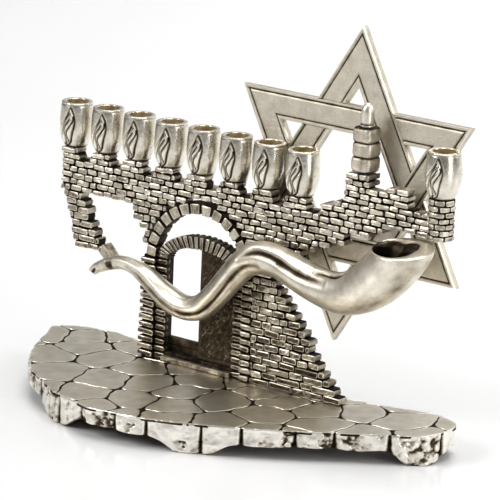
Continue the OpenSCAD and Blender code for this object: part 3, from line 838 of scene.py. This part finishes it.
# Stations: place in pitches, height as a share of the wall, direction of the section in degrees,
# half height and half depth in millimetres.
HORN = np.array([
    (0.98, 0.385, -62, 1.4, 1.8), (1.2, 0.418, -50, 2.3, 2.5), (1.6, 0.457, -24, 3.2, 3.2),
    (2, 0.478, 2, 3.2, 3.5), (2.4, 0.472, 18, 3.4, 4), (2.79, 0.448, 30, 4.6, 4.6),
    (3.19, 0.4, 34, 5.3, 5), (3.57, 0.36, 26, 6, 5.4), (3.96, 0.337, 8, 5.8, 5.6),
    (4.32, 0.338, -8, 5.7, 5.7), (4.68, 0.37, -30, 6, 5.8), (5.08, 0.45, -48, 6.1, 5.9),
    (5.5, 0.553, -50, 6.5, 6), (5.9, 0.64, -34, 7, 6.2), (6.33, 0.683, -10, 7.6, 6.4),
    (6.8, 0.686, 9, 7.4, 6.6), (7.26, 0.663, 16, 7.7, 6.8), (7.75, 0.634, 14, 8.1, 7.2),
    (8.25, 0.614, 6, 8.5, 8), (8.75, 0.607, -8, 9.3, 9), (9.25, 0.632, -28, 10.2, 10),
    (9.75, 0.693, -50, 11.6, 11), (10.17, 0.776, -70, 13, 11.8), (10.5, 0.86, -84, 14, 12.2),
    (10.58, 0.898, -92, 14.3, 12.4)])
HORN_BACK = WALL_FRONT - 0.7           # the horn's back lies just clear of the wall's face


def horn_station(s):
    """Catmull-Rom through the stations."""
    n = len(HORN) - 1
    i = min(int(s), n - 1)
    t = s - i
    a, b, c, d = (HORN[max(0, min(n, k))] for k in (i - 1, i, i + 1, i + 2))
    return b + 0.5 * t * (c - a + t * (2 * a - 5 * b + 4 * c - d + t * (3 * (b - c) + d - a)))


def horn_frame(s):
    x, z, turn, half, deep = horn_station(s)
    free = max(0.0, (s - (len(HORN) - 7)) / 6)
    y = HORN_BACK - deep + free * free * (3 - 2 * free) * 2.5
    return np.array([along(x), y, up(z)]), math.radians(turn), half, deep


# Ridges and grooves that run along the horn: first and last station, their directions round the
# section in degrees (0 is up, -90 to the front), width in degrees, height in millimetres
# (grooves are negative), and how dark the patina is. The second row's darkness is painted shade
# on the facet under the first ridge, and a negative darkness lightens a ridge with wear and a painted
# highlight.
FLUTES = (
    (1.5, 9.5, -52, -78, 16, 0.5, -0.15), (3.5, 9.5, -92, -112, 20, -0.45, 0.5),
    (8.5, 14.0, -82, -74, 13, 0.5, -0.12), (8.0, 14.5, -112, -112, 13, -0.8, 0.75),
    (9.0, 13.5, -40, -46, 14, -0.35, 0.4), (13.0, 18.8, -70, -58, 13, -1.2, 0.95),
    (13.0, 19.0, -36, -28, 12, 0.4, -0.1), (14.0, 19.0, -108, -100, 22, 0.35, 0.0),
    (17.6, 21.4, -38, -6, 9, -1.5, 1.0), (19.5, 24.5, -150, -140, 26, -0.3, 0.35),
    (1.9, 2.5, -100, -100, 70, -0.5, 0.6), (-0.5, 1.0, -95, -95, 25, -0.9, 1.0))


def flute_field(s, q):
    """Height and darkness of the ridges and grooves at station s, for all directions q in radians."""
    height = 0.004 * np.cos(3 * q)
    dark = np.zeros_like(q)
    for s0, s1, q0, q1, width, tall, shade in FLUTES:
        t = (s - s0) / (s1 - s0)
        if not 0 < t < 1:
            continue
        fade = math.sin(PI * t) ** 0.5
        centre = math.radians(q0 + (q1 - q0) * t + 5 * math.sin(9 * t + q0))
        off = np.degrees((q - centre + PI) % (2 * PI) - PI)
        shape = np.exp(-(off / width) ** 2) * fade
        height = height + tall * shape
        dark = dark + shade * np.exp(-(off / (0.8 * width)) ** 2) * fade
    return height, dark


MOUTH_TILT = 0.18                      # how much the mouth leans to the front
LIP = 2.4                              # metal round the mouth before the hollow is shifted
LIP_SHIFT = 2.4                        # how far the hollow sits off the middle, away from the row's end


def horn_section(s, q, extra, shift=0.0):
    """One ring of the horn, its radii grown by extra and its middle moved along the section's height."""
    centre, turn, half, deep = horn_frame(s)
    tail = max(0.0, 1 - s / 1.6)
    up_part = (half * (1 + 0.5 * tail) + extra) * np.cos(q) + shift
    out_part = (deep * (1 - 0.3 * tail) + extra) * np.sin(q)
    ring = centre + np.stack([up_part * math.sin(turn), out_part, up_part * math.cos(turn)], axis=1)
    tip = max(0.0, (s - len(HORN) + 3.5) / 2.5) ** 2
    ring[:, 2] += tip * MOUTH_TILT * out_part
    return ring


def horn():
    """The outside with its flutes, then the lip, then the hollow with its hammered dents and painted shade.
    """
    mesh = Mesh()
    last = len(HORN) - 1
    around, outside_rings, hollow_rings = 120, 420, 30
    q = np.linspace(0, 2 * PI, around, endpoint=False)
    rings, shades = [], []
    for s in np.linspace(0, last, outside_rings):
        height, dark = flute_field(s, q)
        rings.append(horn_section(s, q, height))
        shades.append(0.86 - dark)
    for a in (0.25, 0.5, 0.75, 1.0):
        inset = hollow_inset(q, 0) * (1 - math.cos(a * PI / 2))
        ring = horn_section(last, q, -inset, LIP_SHIFT * (1 - math.cos(a * PI / 2)))
        ring[:, 2] += 0.5 * math.sin(a * PI)
        rings.append(ring)
        shades.append(np.full(around, 0.95 - 0.5 * (a == 1.0)))
    for k in range(1, hollow_rings + 1):
        depth = k / hollow_rings
        dents = 0.5 * layered_noise(np.column_stack([q * 6, np.full(around, k * 0.9)]), 1.6, 83)
        inset = hollow_inset(q, depth) - dents
        ring = horn_section(last - 4.6 * depth, q, -inset, LIP_SHIFT * (1 - depth))
        rings.append(ring)
        # Painted shade: the hollow darkens towards its bottom.
        shades.append(0.34 * (1 - depth) + 0.35 * np.clip(dents, 0, 1))
    points = np.concatenate(rings)
    stations = np.repeat(np.arange(len(rings)), around)
    streaks = layered_noise(np.column_stack([stations * 0.12, np.tile(q, len(rings)) * 4.5]), 1.0, 31)
    patches = layered_noise(points, 11.0, 37)
    pits = np.clip(layered_noise(points, 1.4, 39) - 0.35, 0, 1)
    wear_and_shade = np.concatenate(shades) + 0.16 * streaks + 0.16 * patches - 0.5 * pits
    body = stations < outside_rings
    points = points + (0.05 * streaks * body)[:, None] * np.array([0, -1.0, 0])
    faces = grid_faces(len(rings), around, close_cols=True, flip=True)
    faces += [cap(0, around), cap((len(rings) - 1) * around, around)[::-1]]
    mesh.add(points, faces, wear_and_shade)
    mesh.build("ram_horn", horn_silver, ["shofar"], smooth_angle=60)


def hollow_inset(q, depth):
    """Metal left round the hollow: thick on the side of the row's end, with the dent of a bean's shape."""
    dent = 4.4 * np.exp(-((np.degrees((q - math.radians(82) + PI) % (2 * PI) - PI)) / 24) ** 2)
    far_lip = 3.4 * np.clip(-np.cos(q), 0, 1) ** 2
    return LIP + (dent + far_lip) * (1 - 0.5 * depth) + 2.4 * depth ** 2


horn()


# ---------------------------------------------------------------- star

STAR_LOW, STAR_HIGH = box_mm("star")
STAR_X, _, STAR_Z = middle_of("star")
star_probe = Probe("star")


def star_plane():
    """Front face of the CAD star: its depth at the centre's height and its lean."""
    heights = (STAR_Z - 60, STAR_Z + 60)
    low, high = (star_probe.front(STAR_X, z) for z in heights)
    lean = math.atan2(high - low, heights[1] - heights[0])
    return (low + high) / 2, lean


STAR_Y, STAR_LEAN = star_plane()
STAR_R = (STAR_HIGH[2] - STAR_LOW[2]) / 2 / math.cos(STAR_LEAN)
STAR_BAR = 13.0                        # width of a bar
STAR_T = 2.6                           # thickness of the plate
STAR_LIFT = 0.9                        # how far the bars' faces stand out from the plate


def star_place(a, b, out):
    """Point on the star: a across, b up the leaning plate, out to the front."""
    y = STAR_Y + b * math.sin(STAR_LEAN) - out * math.cos(STAR_LEAN)
    z = STAR_Z + b * math.cos(STAR_LEAN) + out * math.sin(STAR_LEAN)
    return np.stack([STAR_X + a, y, z], axis=1)


def bar_profile(v):
    """Height of a bar's face across its width: raised edges, an engraved line, a flat field."""
    edge = np.minimum(v, STAR_BAR - v)
    rim = np.clip(edge / 0.35, 0, 1) * np.clip((1.45 - edge) / 0.3, 0, 1)
    line = np.exp(-((edge - 1.9) / 0.28) ** 2)
    return 0.5 * rim - 0.35 * line - 0.5 * (1 - np.clip(edge / 0.3, 0, 1))


def star():
    """Two triangles of raised bars on a flat plate."""
    mesh = Mesh()
    edges = np.array([0, 0.15, 0.35, 0.8, 1.15, 1.45, 1.65, 1.9, 2.15, 2.4, 3.2])
    vs = np.concatenate([edges, np.linspace(4.2, STAR_BAR - 4.2, 6), STAR_BAR - edges[::-1]])
    for triangle in (0, 1):
        for n in range(3):
            turn = (n * 120 + triangle * 60) * PI / 180
            bar_pieces(mesh, vs, turn, triangle)
    back_plate(mesh)
    mesh.build("star_bars", star_silver, ["star"])


def bar_pieces(mesh, vs, turn, triangle):
    """One bar, cut where it passes under the other triangle. It runs along u, from one tip to the next.

    Each end of a piece is the u of its outer edge, and how fast u changes across the bar.
    """
    half = STAR_R * math.sqrt(3) / 2
    mitre = 1 / math.tan(PI / 6)
    cross = STAR_R / math.sqrt(3)
    run = 1 / math.tan(PI / 3)
    width = STAR_BAR / math.sin(PI / 3)
    spans = [((-half, mitre), (-cross / 2, -run)), ((-cross / 2 + width, -run), (half, -mitre))]
    cols = 90
    for (a0, k0), (a1, k1) in spans:
        rows = [np.stack([np.linspace(a0 + k0 * v, a1 + k1 * v, cols), np.full(cols, v)], axis=1) for v in vs]
        flat = np.concatenate(rows)
        u, v = flat.T
        edge = np.minimum(v, STAR_BAR - v)
        grain = np.where(edge > 2.4, 0.07 * layered_noise(flat, 0.9, 71 + triangle), 0)
        height = bar_profile(v) + grain
        wear_and_shade = 0.8 + 0.2 * (edge < 1.4) - 0.75 * np.exp(-((edge - 1.9) / 0.38) ** 2) + 1.2 * grain
        b = v - STAR_R / 2
        x = u * math.cos(turn) - b * math.sin(turn)
        z = u * math.sin(turn) + b * math.cos(turn)
        points = star_place(x, z, STAR_LIFT + height)
        ring = perimeter(len(vs), cols)
        skirt = star_place(x, z, np.full(len(x), -0.1))[ring]
        count = len(points)
        faces = grid_faces(len(vs), cols)
        for i in range(len(ring)):
            j = (i + 1) % len(ring)
            faces.append((ring[j], ring[i], count + i, count + j))
        mesh.add(np.concatenate([points, skirt]), faces, np.concatenate([wear_and_shade, np.full(len(skirt), 0.35)]))


def back_plate(mesh):
    """The star's flat back: two triangle frames, one plate thick."""
    for triangle in (0, 1):
        angles = np.radians(90 + 120 * np.arange(3) + 60 * triangle)
        points = np.concatenate([star_place(np.cos(angles) * r, np.sin(angles) * r, np.full(3, out))
                                 for out in (-0.05 * triangle, -STAR_T + 0.2 * triangle)
                                 for r in (STAR_R, STAR_R - 2 * STAR_BAR)])
        faces = []
        for k in range(3):
            j = (k + 1) % 3
            faces += [(k, 3 + k, 3 + j, j), (6 + k, 6 + j, 9 + j, 9 + k),
                      (k, j, 6 + j, 6 + k), (3 + k, 9 + k, 9 + j, 3 + j)]
        mesh.add(points, faces, 0.7)


star()


# ---------------------------------------------------------------- candle cups

RIM_R = BORE_R + 2                     # outside radius of a cup's rim
WIDEST = 0.55                          # where a cup is widest, as a share of its height
CUP_FOOT_R = 5.1
FLAME_H = 0.84                         # the flame's height, as a share of the cup's
# Lines inside the flame: place across it, from -1 to 1, and where each begins and ends up its height.
FLAME_LINES = ((-0.45, 0.04, 0.9), (0.08, 0.0, 0.74), (0.55, 0.1, 0.8))


def cup_profile(t, radius):
    """Outside radius of a cup at share t of its height, nicked at the foot and under the rim."""
    if t < WIDEST:
        r = CUP_FOOT_R + (radius - CUP_FOOT_R) * math.sin(PI / 2 * t / WIDEST) ** 0.75
        return r - 0.35 if t < 0.01 else r
    r = radius - (radius - RIM_R) * ((t - WIDEST) / (1 - WIDEST)) ** 1.6
    return r - 0.1 if 0.94 < t < 0.97 else r


def flame_relief(across, high):
    """The flame in relief: its body, the lines in it, and its dark outline. high runs from 0 to 1."""
    t = np.clip(high, 0, 1)
    middle = -0.5 + 2.6 * t ** 2 - np.sin(2 * PI * t)
    half = 4.2 * np.sin(PI * np.clip(t, 0.001, 0.999) ** 0.58) ** 0.9 + 0.05
    d = (across - middle) / half
    within = (high > 0) & (high < 1)
    body = np.where(within & (np.abs(d) < 1), np.sqrt(np.clip(1 - d ** 2, 0, 1)), 0)
    groove = np.zeros_like(across)
    for place, start, stop in FLAME_LINES:
        curl = middle + half * (place + 0.22 * np.sin(2.6 * PI * t + 3 * place))
        inside = within & (t > start) & (t < stop)
        groove = np.maximum(groove, np.exp(-((across - curl) / 0.42) ** 2) * inside)
    outline = np.exp(-(((np.abs(d) - 1.0) * half - 0.1) / 0.52) ** 2) * ((high > -0.02) & (high < 1.02))
    return body, groove, outline


def cup(name, index):
    """One cup with its flame, the knob at the flame's foot and its bore."""
    low, high = box_mm(name)
    cx, cy, _ = middle_of(name)
    radius = (high[0] - low[0]) / 2 - 0.25
    height = high[2] - low[2]
    mesh = Mesh()
    around = 168
    angles = np.linspace(0, 2 * PI, around, endpoint=False)
    ts = np.concatenate([[0.0, 0.008], np.linspace(0.02, 0.93, 78), [0.945, 0.955, 0.965, 0.98, 0.99]])
    outer = [(cup_profile(t, radius), t * height) for t in ts]
    top_r = outer[-1][0]
    lip = [(top_r - 0.25, height * 0.998), (top_r - 0.6, height), (BORE_R + 0.25, height),
           (BORE_R, height - 0.3)]
    rows = np.array(outer + lip)
    r, z = (np.repeat(column[:, None], around, axis=1) for column in rows.T)
    angle = np.tile(angles, (len(rows), 1))
    wrap = (angle + PI) % (2 * PI) - PI
    across = (wrap + 0.02) * radius
    share = (z - 0.05 * height) / (FLAME_H * height)
    body, groove, outline = flame_relief(across, share)
    on_outside = np.arange(len(rows))[:, None] < len(outer)
    relief = np.where(on_outside, body - 0.9 * groove - 0.4 * outline * (body == 0), 0)
    knob = np.exp(-((across + 0.2) / 1.5) ** 4 - ((z - 1.5) / 0.9) ** 4) * on_outside
    field = np.column_stack([angle.ravel() * radius, z.ravel(), np.full(z.size, index * 9.0)])
    hammer = layered_noise(field, 2.6, 61).reshape(r.shape)
    r = r + relief + 0.4 * knob + 0.06 * hammer * on_outside
    wear_and_shade = 0.88 - 0.62 * outline * on_outside - 0.6 * groove - 0.3 * knob + 0.1 * hammer
    # The raised flame is lightened: polish wear and a painted highlight.
    wear_and_shade += 0.1 * (body > 0.3) * (1 - groove)
    wear_and_shade -= 0.9 * np.exp(-(z / 0.8) ** 2) * on_outside
    wear_and_shade -= 0.2 * ((z > 0.94 * height) & (z < 0.968 * height) & on_outside)
    points = np.stack([cx + r * np.sin(angle), cy - r * np.cos(angle), low[2] + z], axis=2).reshape(-1, 3)
    faces = grid_faces(len(rows), around, close_cols=True)
    faces.append(cap(0, around)[::-1])
    mesh.add(points, faces, wear_and_shade.reshape(-1))
    mesh.build(f"{name}_shell", cup_silver, [name], smooth_angle=50)
    bore(name, cx, cy, low[2] + height)


def bore(name, cx, cy, top):
    """The candle's bore, stained golden, down to its floor."""
    mesh = Mesh()
    around = 64
    floor = top - BORE["length_mm"]
    wall_r = BORE_R - 0.02
    outline = [(BORE_R, top - 0.3), (wall_r, top - 2.5), (wall_r, top - 9), (wall_r, floor + 0.4),
               (BORE_R - 0.5, floor), (3.2, floor)]
    mesh.add(turned(cx, cy, outline, around), grid_faces(len(outline), around, close_cols=True), 0.5)
    mesh.build(f"{name}_bore", bore_tan)


for number, cup_name in enumerate(CUPS + ["servant_cup"]):
    cup(cup_name, number)


# ---------------------------------------------------------------- paved base

def base_outline():
    """The base's outline from the CAD: the outermost corners of its paved top, so screw holes drop out."""
    corners = [v.co / MM for v in frame["nodes"]["base"].data.vertices]
    top = {(round(p.x, 2), round(p.y, 2)) for p in corners if abs(p.z - PAVING) < 0.01}
    points = np.array(sorted(top))
    centre = middle_of("base")[:2] + [0, 10]
    arms = points - centre
    angles = np.arctan2(arms[:, 1], arms[:, 0])
    order = np.argsort(angles)
    points, angles, reach = points[order], angles[order], np.hypot(*arms[order].T)
    return np.array([p for p, a, r in zip(points, angles, reach)
                     if r > 0.8 * max(reach[np.abs(np.angle(np.exp(1j * (angles - a)))) < 0.2])])


def resample(loop, step):
    """Even steps along a loop, and each step's place along it."""
    closed = np.vstack([loop, loop[:1]])
    lengths = np.hypot(*np.diff(closed, axis=0).T)
    reach = np.concatenate([[0], np.cumsum(lengths)])
    count = int(reach[-1] / step)
    at = np.linspace(0, reach[-1], count, endpoint=False)
    return np.stack([np.interp(at, reach, closed[:, 0]), np.interp(at, reach, closed[:, 1])], axis=1), at


def smooth_loop(points, passes):
    for _ in range(passes):
        points = (points + (np.roll(points, 1, axis=0) + np.roll(points, -1, axis=0)) / 2) / 2
    return points


def signed_area(loop):
    """Area of a loop, positive when it runs counter-clockwise from above."""
    x, y = loop.T
    return 0.5 * np.sum(x * np.roll(y, -1) - y * np.roll(x, -1))


OUTLINE = base_outline()
FLAG_W = 17.0                          # least spacing of the flags' centres along the wall
FLAG_D = 19.0                          # and across it
RIM_H = 7.6                            # usual height of the hewn rim, between the feet


def clip(polygon, point, normal):
    """Keeps the part of a polygon on the inner side of a line."""
    out = []
    side = (polygon - point) @ normal
    for k in range(len(polygon)):
        a, b = polygon[k], polygon[(k + 1) % len(polygon)]
        sa, sb = side[k], side[(k + 1) % len(polygon)]
        if sa <= 0:
            out.append(a)
        if (sa < 0 < sb) or (sb < 0 < sa):
            out.append(a + (b - a) * sa / (sa - sb))
    return np.array(out)


def stone_centres(rng):
    """Scattered centres, none closer to another than a flag's spacing."""
    centres = []
    tries = rng.uniform([BASE_LOW[0], BASE_LOW[1]], [BASE_HIGH[0], BASE_HIGH[1]], (6000, 2))
    for p in tries:
        if all(((p[0] - q[0]) / FLAG_W) ** 2 + ((p[1] - q[1]) / FLAG_D) ** 2 > 1 for q in centres):
            centres.append(p)
    return np.array(centres)


def paving(mesh, rng):
    """Flags that fill the outline, each one the ground that lies nearest to its centre."""
    edge = smooth_loop(resample(OUTLINE, 1.2)[0], 3)
    middle = edge.mean(axis=0)
    edge = middle + (edge - middle) * 0.995
    stretch = np.array([1 / FLAG_W ** 2, 1 / FLAG_D ** 2])
    centres = stone_centres(rng)
    for k, centre in enumerate(centres):
        cell = edge
        for j, other in enumerate(centres):
            if j == k or np.hypot(*(other - centre)) > 55 or len(cell) < 3:
                continue
            normal = (other - centre) * stretch
            cell = clip(cell, (centre + other) / 2, normal / np.hypot(*normal))
        if len(cell) >= 3:
            flag(mesh, cell)


def flag(mesh, cell):
    """One paving stone: rounded outline, soft shoulder, slightly domed and worn."""
    loop, _ = resample(cell, 0.8)
    if len(loop) < 12:
        return
    loop = smooth_loop(loop, 14)
    loop = loop + 1.1 * np.stack([value_noise(loop, 6.5, 93), value_noise(loop, 6.5, 94)], axis=1)
    middle = loop.mean(axis=0)
    inward = middle - loop
    far = np.hypot(*inward.T)[:, None] + 1e-6
    wander = 0.3 * layered_noise(loop, 2.5, 91)[:, None]
    rings, heights, wear_and_shade = [], [], []
    for inset, drop, shade in ((0.25, 1.2, 0.0), (0.35, 0.5, 0.08), (0.7, 0.1, 0.9), (1.5, 0.02, 0.8)):
        rings.append(loop + inward / far * (inset + wander))
        heights.append(np.full(len(loop), PAVING - drop))
        wear_and_shade.append(np.full(len(loop), shade))
    for share in (0.7, 0.4, 0.12):
        rings.append(middle + (rings[3] - middle) * share)
        heights.append(np.full(len(loop), PAVING))
        wear_and_shade.append(np.full(len(loop), 0.73))
    n = len(loop)
    flat = np.concatenate(rings)
    z = np.concatenate(heights)
    z[3 * n:] += 0.12 * layered_noise(flat[3 * n:], 9.0, 13) - 0.06
    points = np.column_stack([flat, np.minimum(z, PAVING)])
    shade = np.concatenate(wear_and_shade) + 0.1 * layered_noise(flat, 7.0, 55)
    faces = grid_faces(len(rings), n, close_cols=True) + [cap((len(rings) - 1) * n, n)]
    if signed_area(loop) < 0:
        faces = [f[::-1] for f in faces]
    mesh.add(points, faces, shade)


# Feet: place along and across the base, as shares of its size, and reach in millimetres.
FEET = ((0.29, 0.08, 15), (0.62, 0.13, 13), (0.985, 0.7, 12),
        (0.93, 0.98, 12), (0.5, 1.0, 12), (0.04, 0.94, 12))


def rim_drop(edge, at):
    """How far the hewn rim reaches below the paving, along its outline."""
    size = BASE_HIGH - BASE_LOW
    full = PAVING - BASE_LOW[2]
    drop = np.full(len(edge), RIM_H)
    drop += 0.7 * value_noise(at[:, None], 17.0, 3) + 0.45 * value_noise(at[:, None], 6.0, 8)
    for sx, sy, width in FEET:
        foot = np.array([BASE_LOW[0] + sx * size[0], BASE_LOW[1] + sy * size[1]])
        gone = np.hypot(*(edge - foot).T)
        weight = np.clip((width + 5 - gone) / 11, 0, 1)
        weight = weight * weight * (3 - 2 * weight)
        drop = np.maximum(drop, RIM_H + (full - RIM_H) * weight)
    return np.minimum(smooth_loop(drop, 60), full)


def rim(mesh, rng):
    """The hewn rim: stones with upright seams and pits, an inner face and a lower edge between them."""
    edge, at = resample(smooth_loop(resample(OUTLINE, 1.0)[0], 4), 0.5)
    count = len(edge)
    tangent = np.roll(edge, -1, axis=0) - np.roll(edge, 1, axis=0)
    tangent /= np.hypot(*tangent.T)[:, None]
    outward = np.stack([tangent[:, 1], -tangent[:, 0]], axis=1)
    if np.sum((edge - edge.mean(axis=0)) * outward) < 0:
        outward = -outward
    length = at[-1] + at[1]
    seams = seam_places(length, rng)
    share, block_inset = hewn_blocks(at, length, seams, rng)
    drop = rim_drop(edge, at)
    drop = np.minimum(drop + 0.7 * np.sin(PI * share) ** 0.6 - 0.4, PAVING - BASE_LOW[2])
    rows = 40
    rings = [np.column_stack([edge - outward * 1.8, np.full(count, PAVING - 0.3)])]
    shades = [np.full(count, 0.7)]
    for j in range(rows):
        t = j / (rows - 1)
        z = PAVING - 0.05 - (drop - 0.05) * t
        p3 = np.column_stack([edge, z])
        pit, stain = (min(1.0, t / 0.1) * field for field in pit_field(p3, at))
        gone = np.minimum(share, 1 - share) * 20
        wide = 0.45 + 0.6 * t
        seam = np.exp(-(gone / wide) ** 2)
        shoulder = 0.25 * max(0.0, 1 - t / 0.05) ** 2 + 0.6 * max(0.0, (t - 0.92) / 0.08) ** 2
        facets = layered_noise(p3, 5.0, 23)
        fine = layered_noise(p3, 1.5, 29)
        inset = (0.3 + shoulder + block_inset + 1.3 * seam + 0.9 * pit - 0.4 * facets - 0.1 * fine
                 + 0.15 * np.exp(-(gone / 1.4) ** 2))
        rings.append(np.column_stack([edge - outward * np.maximum(inset, 0.02)[:, None], z]))
        shades.append(0.95 - 0.95 * seam - 0.5 * pit - 0.24 * stain - 0.25 * (t > 0.97)
                      + 0.15 * facets + 0.12 * fine)
    for inset, rise in ((2.0, 0.0), (3.6, 0.15), (4.2, 0.8)):
        rings.append(np.column_stack([edge - outward * inset, PAVING - drop + rise]))
        shades.append(np.full(count, 0.4))
    rings.append(np.column_stack([edge - outward * 4.4, np.full(count, PAVING - 4.0)]))
    shades.append(np.full(count, 0.25))
    faces = grid_faces(len(rings), count, close_cols=True)
    area = signed_area(edge)
    if area > 0:
        faces = [f[::-1] for f in faces]
    mesh.add(np.concatenate(rings), faces, np.concatenate(shades))
    bed(mesh, edge - outward * 0.8, PAVING - 0.75, 0.0, area > 0)
    bed(mesh, edge - outward * 4.3, PAVING - 4.0, 0.3, area < 0)


def screw_places(name):
    """Middles of the upright screws in a CAD node, found as groups of points along X."""
    points = np.array([v.co[:2] for v in frame["nodes"][name].data.vertices]) / MM
    points = points[np.argsort(points[:, 0])]
    groups = np.split(points, np.flatnonzero(np.diff(points[:, 0]) > 1.0) + 1)
    return [(g.min(axis=0) + g.max(axis=0)) / 2 for g in groups]


def bosses(mesh):
    """Round bosses under the paving, one over each screw that comes up from beneath."""
    foot = box_mm("wall_screws")[0][2] + 2
    for name in ("wall_screws", "gate_screws"):
        for x, y in screw_places(name):
            lathe(mesh, x, y, [(1.6, foot), (4.2, foot), (4.6, foot + 0.5), (4.6, PAVING - 1)], 40, 0.35)


def bed(mesh, loop, z, wear_and_shade, face_up):
    """A flat sheet that fills a loop, as a fan of rings towards its middle."""
    middle = loop.mean(axis=0)
    rings = [middle + (loop - middle) * share for share in (1.0, 0.66, 0.33, 0.02)]
    count = len(loop)
    points = np.column_stack([np.concatenate(rings), np.full(count * len(rings), z)])
    faces = grid_faces(len(rings), count, close_cols=True) + [cap((len(rings) - 1) * count, count)]
    if not face_up:
        faces = [f[::-1] for f in faces]
    mesh.add(points, faces, wear_and_shade)


def seam_places(length, rng):
    """Where the rim's upright seams are, along its outline."""
    places, s = [], 4.0
    while s < length - 8:
        places.append(s)
        s += rng.uniform(15, 27)
    return np.array(places)


def hewn_blocks(at, length, seams, rng):
    """For each place on the rim: share of the way along its block, and the block's own inset."""
    index = np.searchsorted(seams, at) - 1
    start = np.where(index < 0, seams[-1] - length, seams[index])
    stop = np.where(index + 1 >= len(seams), seams[0] + length, seams[(index + 1) % len(seams)])
    inset = rng.uniform(0, 0.45, len(seams))
    return (at - start) / (stop - start), inset[index]


def pit_field(points, at):
    """Depth of the craters in the rim and the stain round them, from 0 to 1. They crowd in patches."""
    patch = np.clip(0.75 + 1.2 * value_noise(at[:, None], 17.0, 97), 0, 1)
    craters = layered_noise(points * np.array([1, 1, 1.2]), 3.0, 101, layers=4)
    pit = np.clip((craters + 0.34 * patch - 0.36) / 0.4, 0, 1) * np.clip(3 * patch, 0, 1)
    stain = np.clip((craters + 0.5 * patch - 0.18) / 0.6, 0, 1)
    return pit, stain


base_mesh = Mesh()
base_rng = np.random.default_rng(5)
paving(base_mesh, base_rng)
base_mesh.build("paving_stones", paving_silver, ["base"])
rim_mesh = Mesh()
rim(rim_mesh, base_rng)
bosses(rim_mesh)
rim_mesh.build("hewn_rim", rim_silver, smooth_angle=60)


# ---------------------------------------------------------------- carried-over CAD nodes

for cad_name in ("star_posts", "cup_screws", "wall_screws", "gate_screws", "horn_screws", "star_screws",
                 "turret_pin"):
    carried = frame["nodes"][cad_name].data
    carried.materials.clear()
    carried.materials.append(zinc)


# ---------------------------------------------------------------- studio

def floor_material():
    material, tree, shader = new_material("floor_white")
    noise = noise_node(tree, node(tree, "ShaderNodeTexCoord").outputs["Object"], 3.0, 3.0)
    colour = ramp(tree, noise, [(0.3, (0.71, 0.71, 0.71)), (0.7, (0.73, 0.73, 0.73))])
    tree.links.new(colour, shader.inputs["Base Color"])
    shader.inputs["Roughness"].default_value = 0.2
    return material


def studio_floor():
    """A floor that curves up into a backdrop. Sizes are metres."""
    mesh = bpy.data.meshes.new("floor")
    half, back, bend = 4.0, 2.25, 0.4
    curve = [(back - bend + bend * math.sin(a), bend - bend * math.cos(a))
             for a in np.linspace(0, PI / 2, 12)]
    profile = [(-half, 0)] + curve + [(back, 4)]
    points = [(x, y, z) for y, z in profile for x in (-half, half)]
    faces = [(2 * k, 2 * k + 1, 2 * k + 3, 2 * k + 2) for k in range(len(profile) - 1)]
    mesh.from_pydata(points, [], faces)
    mesh.materials.append(floor_material())
    mesh.shade_smooth()
    floor = bpy.data.objects.new("floor", mesh)
    bpy.context.scene.collection.objects.link(floor)


def area_light(name, place, target, size, power):
    """A white rectangular lamp. Places and sizes are metres, and power is watts."""
    light = bpy.data.lights.new(name, "AREA")
    light.shape = "RECTANGLE"
    light.size, light.size_y = size
    light.energy = power
    lamp = bpy.data.objects.new(name, light)
    lamp.location = place
    lamp.rotation_euler = (Vector(target) - Vector(place)).to_track_quat("-Z", "Y").to_euler()
    bpy.context.scene.collection.objects.link(lamp)


def studio_light():
    """A grey sky and five soft lamps."""
    world = bpy.data.worlds.new("studio")
    world.use_nodes = True
    tree = world.node_tree
    background = tree.nodes["Background"]
    place = node(tree, "ShaderNodeTexCoord").outputs["Generated"]
    split = node(tree, "ShaderNodeSeparateXYZ", {"Vector": place})
    colour = ramp(tree, split.outputs["Z"],
                  [(0.0, (0.25, 0.24, 0.22)), (0.5, (0.8, 0.8, 0.8)), (1.0, (0.45, 0.45, 0.45))])
    tree.links.new(colour, background.inputs["Color"])
    background.inputs["Strength"].default_value = 0.42
    bpy.context.scene.world = world
    aim = (0, 0, 0.09)
    area_light("key", (-0.75, -1.0, 0.95), aim, (0.45, 0.9), 15)
    area_light("fill", (1.55, -0.35, 0.55), aim, (0.3, 1.1), 8)
    area_light("edge", (0.95, 0.75, 0.75), aim, (0.3, 0.8), 5)
    area_light("top", (0.05, 0.15, 1.7), aim, (1.5, 1.0), 22)
    area_light("wash", (0, 0.9, 1.5), (0, 2.2, 0.5), (2.4, 0.3), 34)
    bpy.context.scene.view_settings.view_transform = "Standard"


def camera():
    """A long lens from the right, a little above, and rolled a little."""
    azimuth, elevation, roll = math.radians(36.1), math.radians(15.08), math.radians(2.48)
    distance = 1.753
    target = np.array([along(5.61) * MM, WALL_Y * MM, (PAVING + 3.3 * PITCH) * MM])
    back = np.array([math.sin(azimuth) * math.cos(elevation), -math.cos(azimuth) * math.cos(elevation),
                     math.sin(elevation)])
    right = np.array([math.cos(azimuth), math.sin(azimuth), 0])
    above = np.cross(back, right)
    turned_right = right * math.cos(roll) + above * math.sin(roll)
    turned_above = -right * math.sin(roll) + above * math.cos(roll)
    data = bpy.data.cameras.new("camera")
    data.lens = 280.3
    data.sensor_width = 36
    eye = bpy.data.objects.new("camera", data)
    place = target + back * distance
    rows = [[turned_right[k], turned_above[k], back[k], place[k]] for k in range(3)]
    eye.matrix_world = Matrix(rows + [[0, 0, 0, 1]])
    bpy.context.scene.collection.objects.link(eye)
    bpy.context.scene.camera = eye


studio_floor()
studio_light()
camera()

bpy.context.view_layer.update()
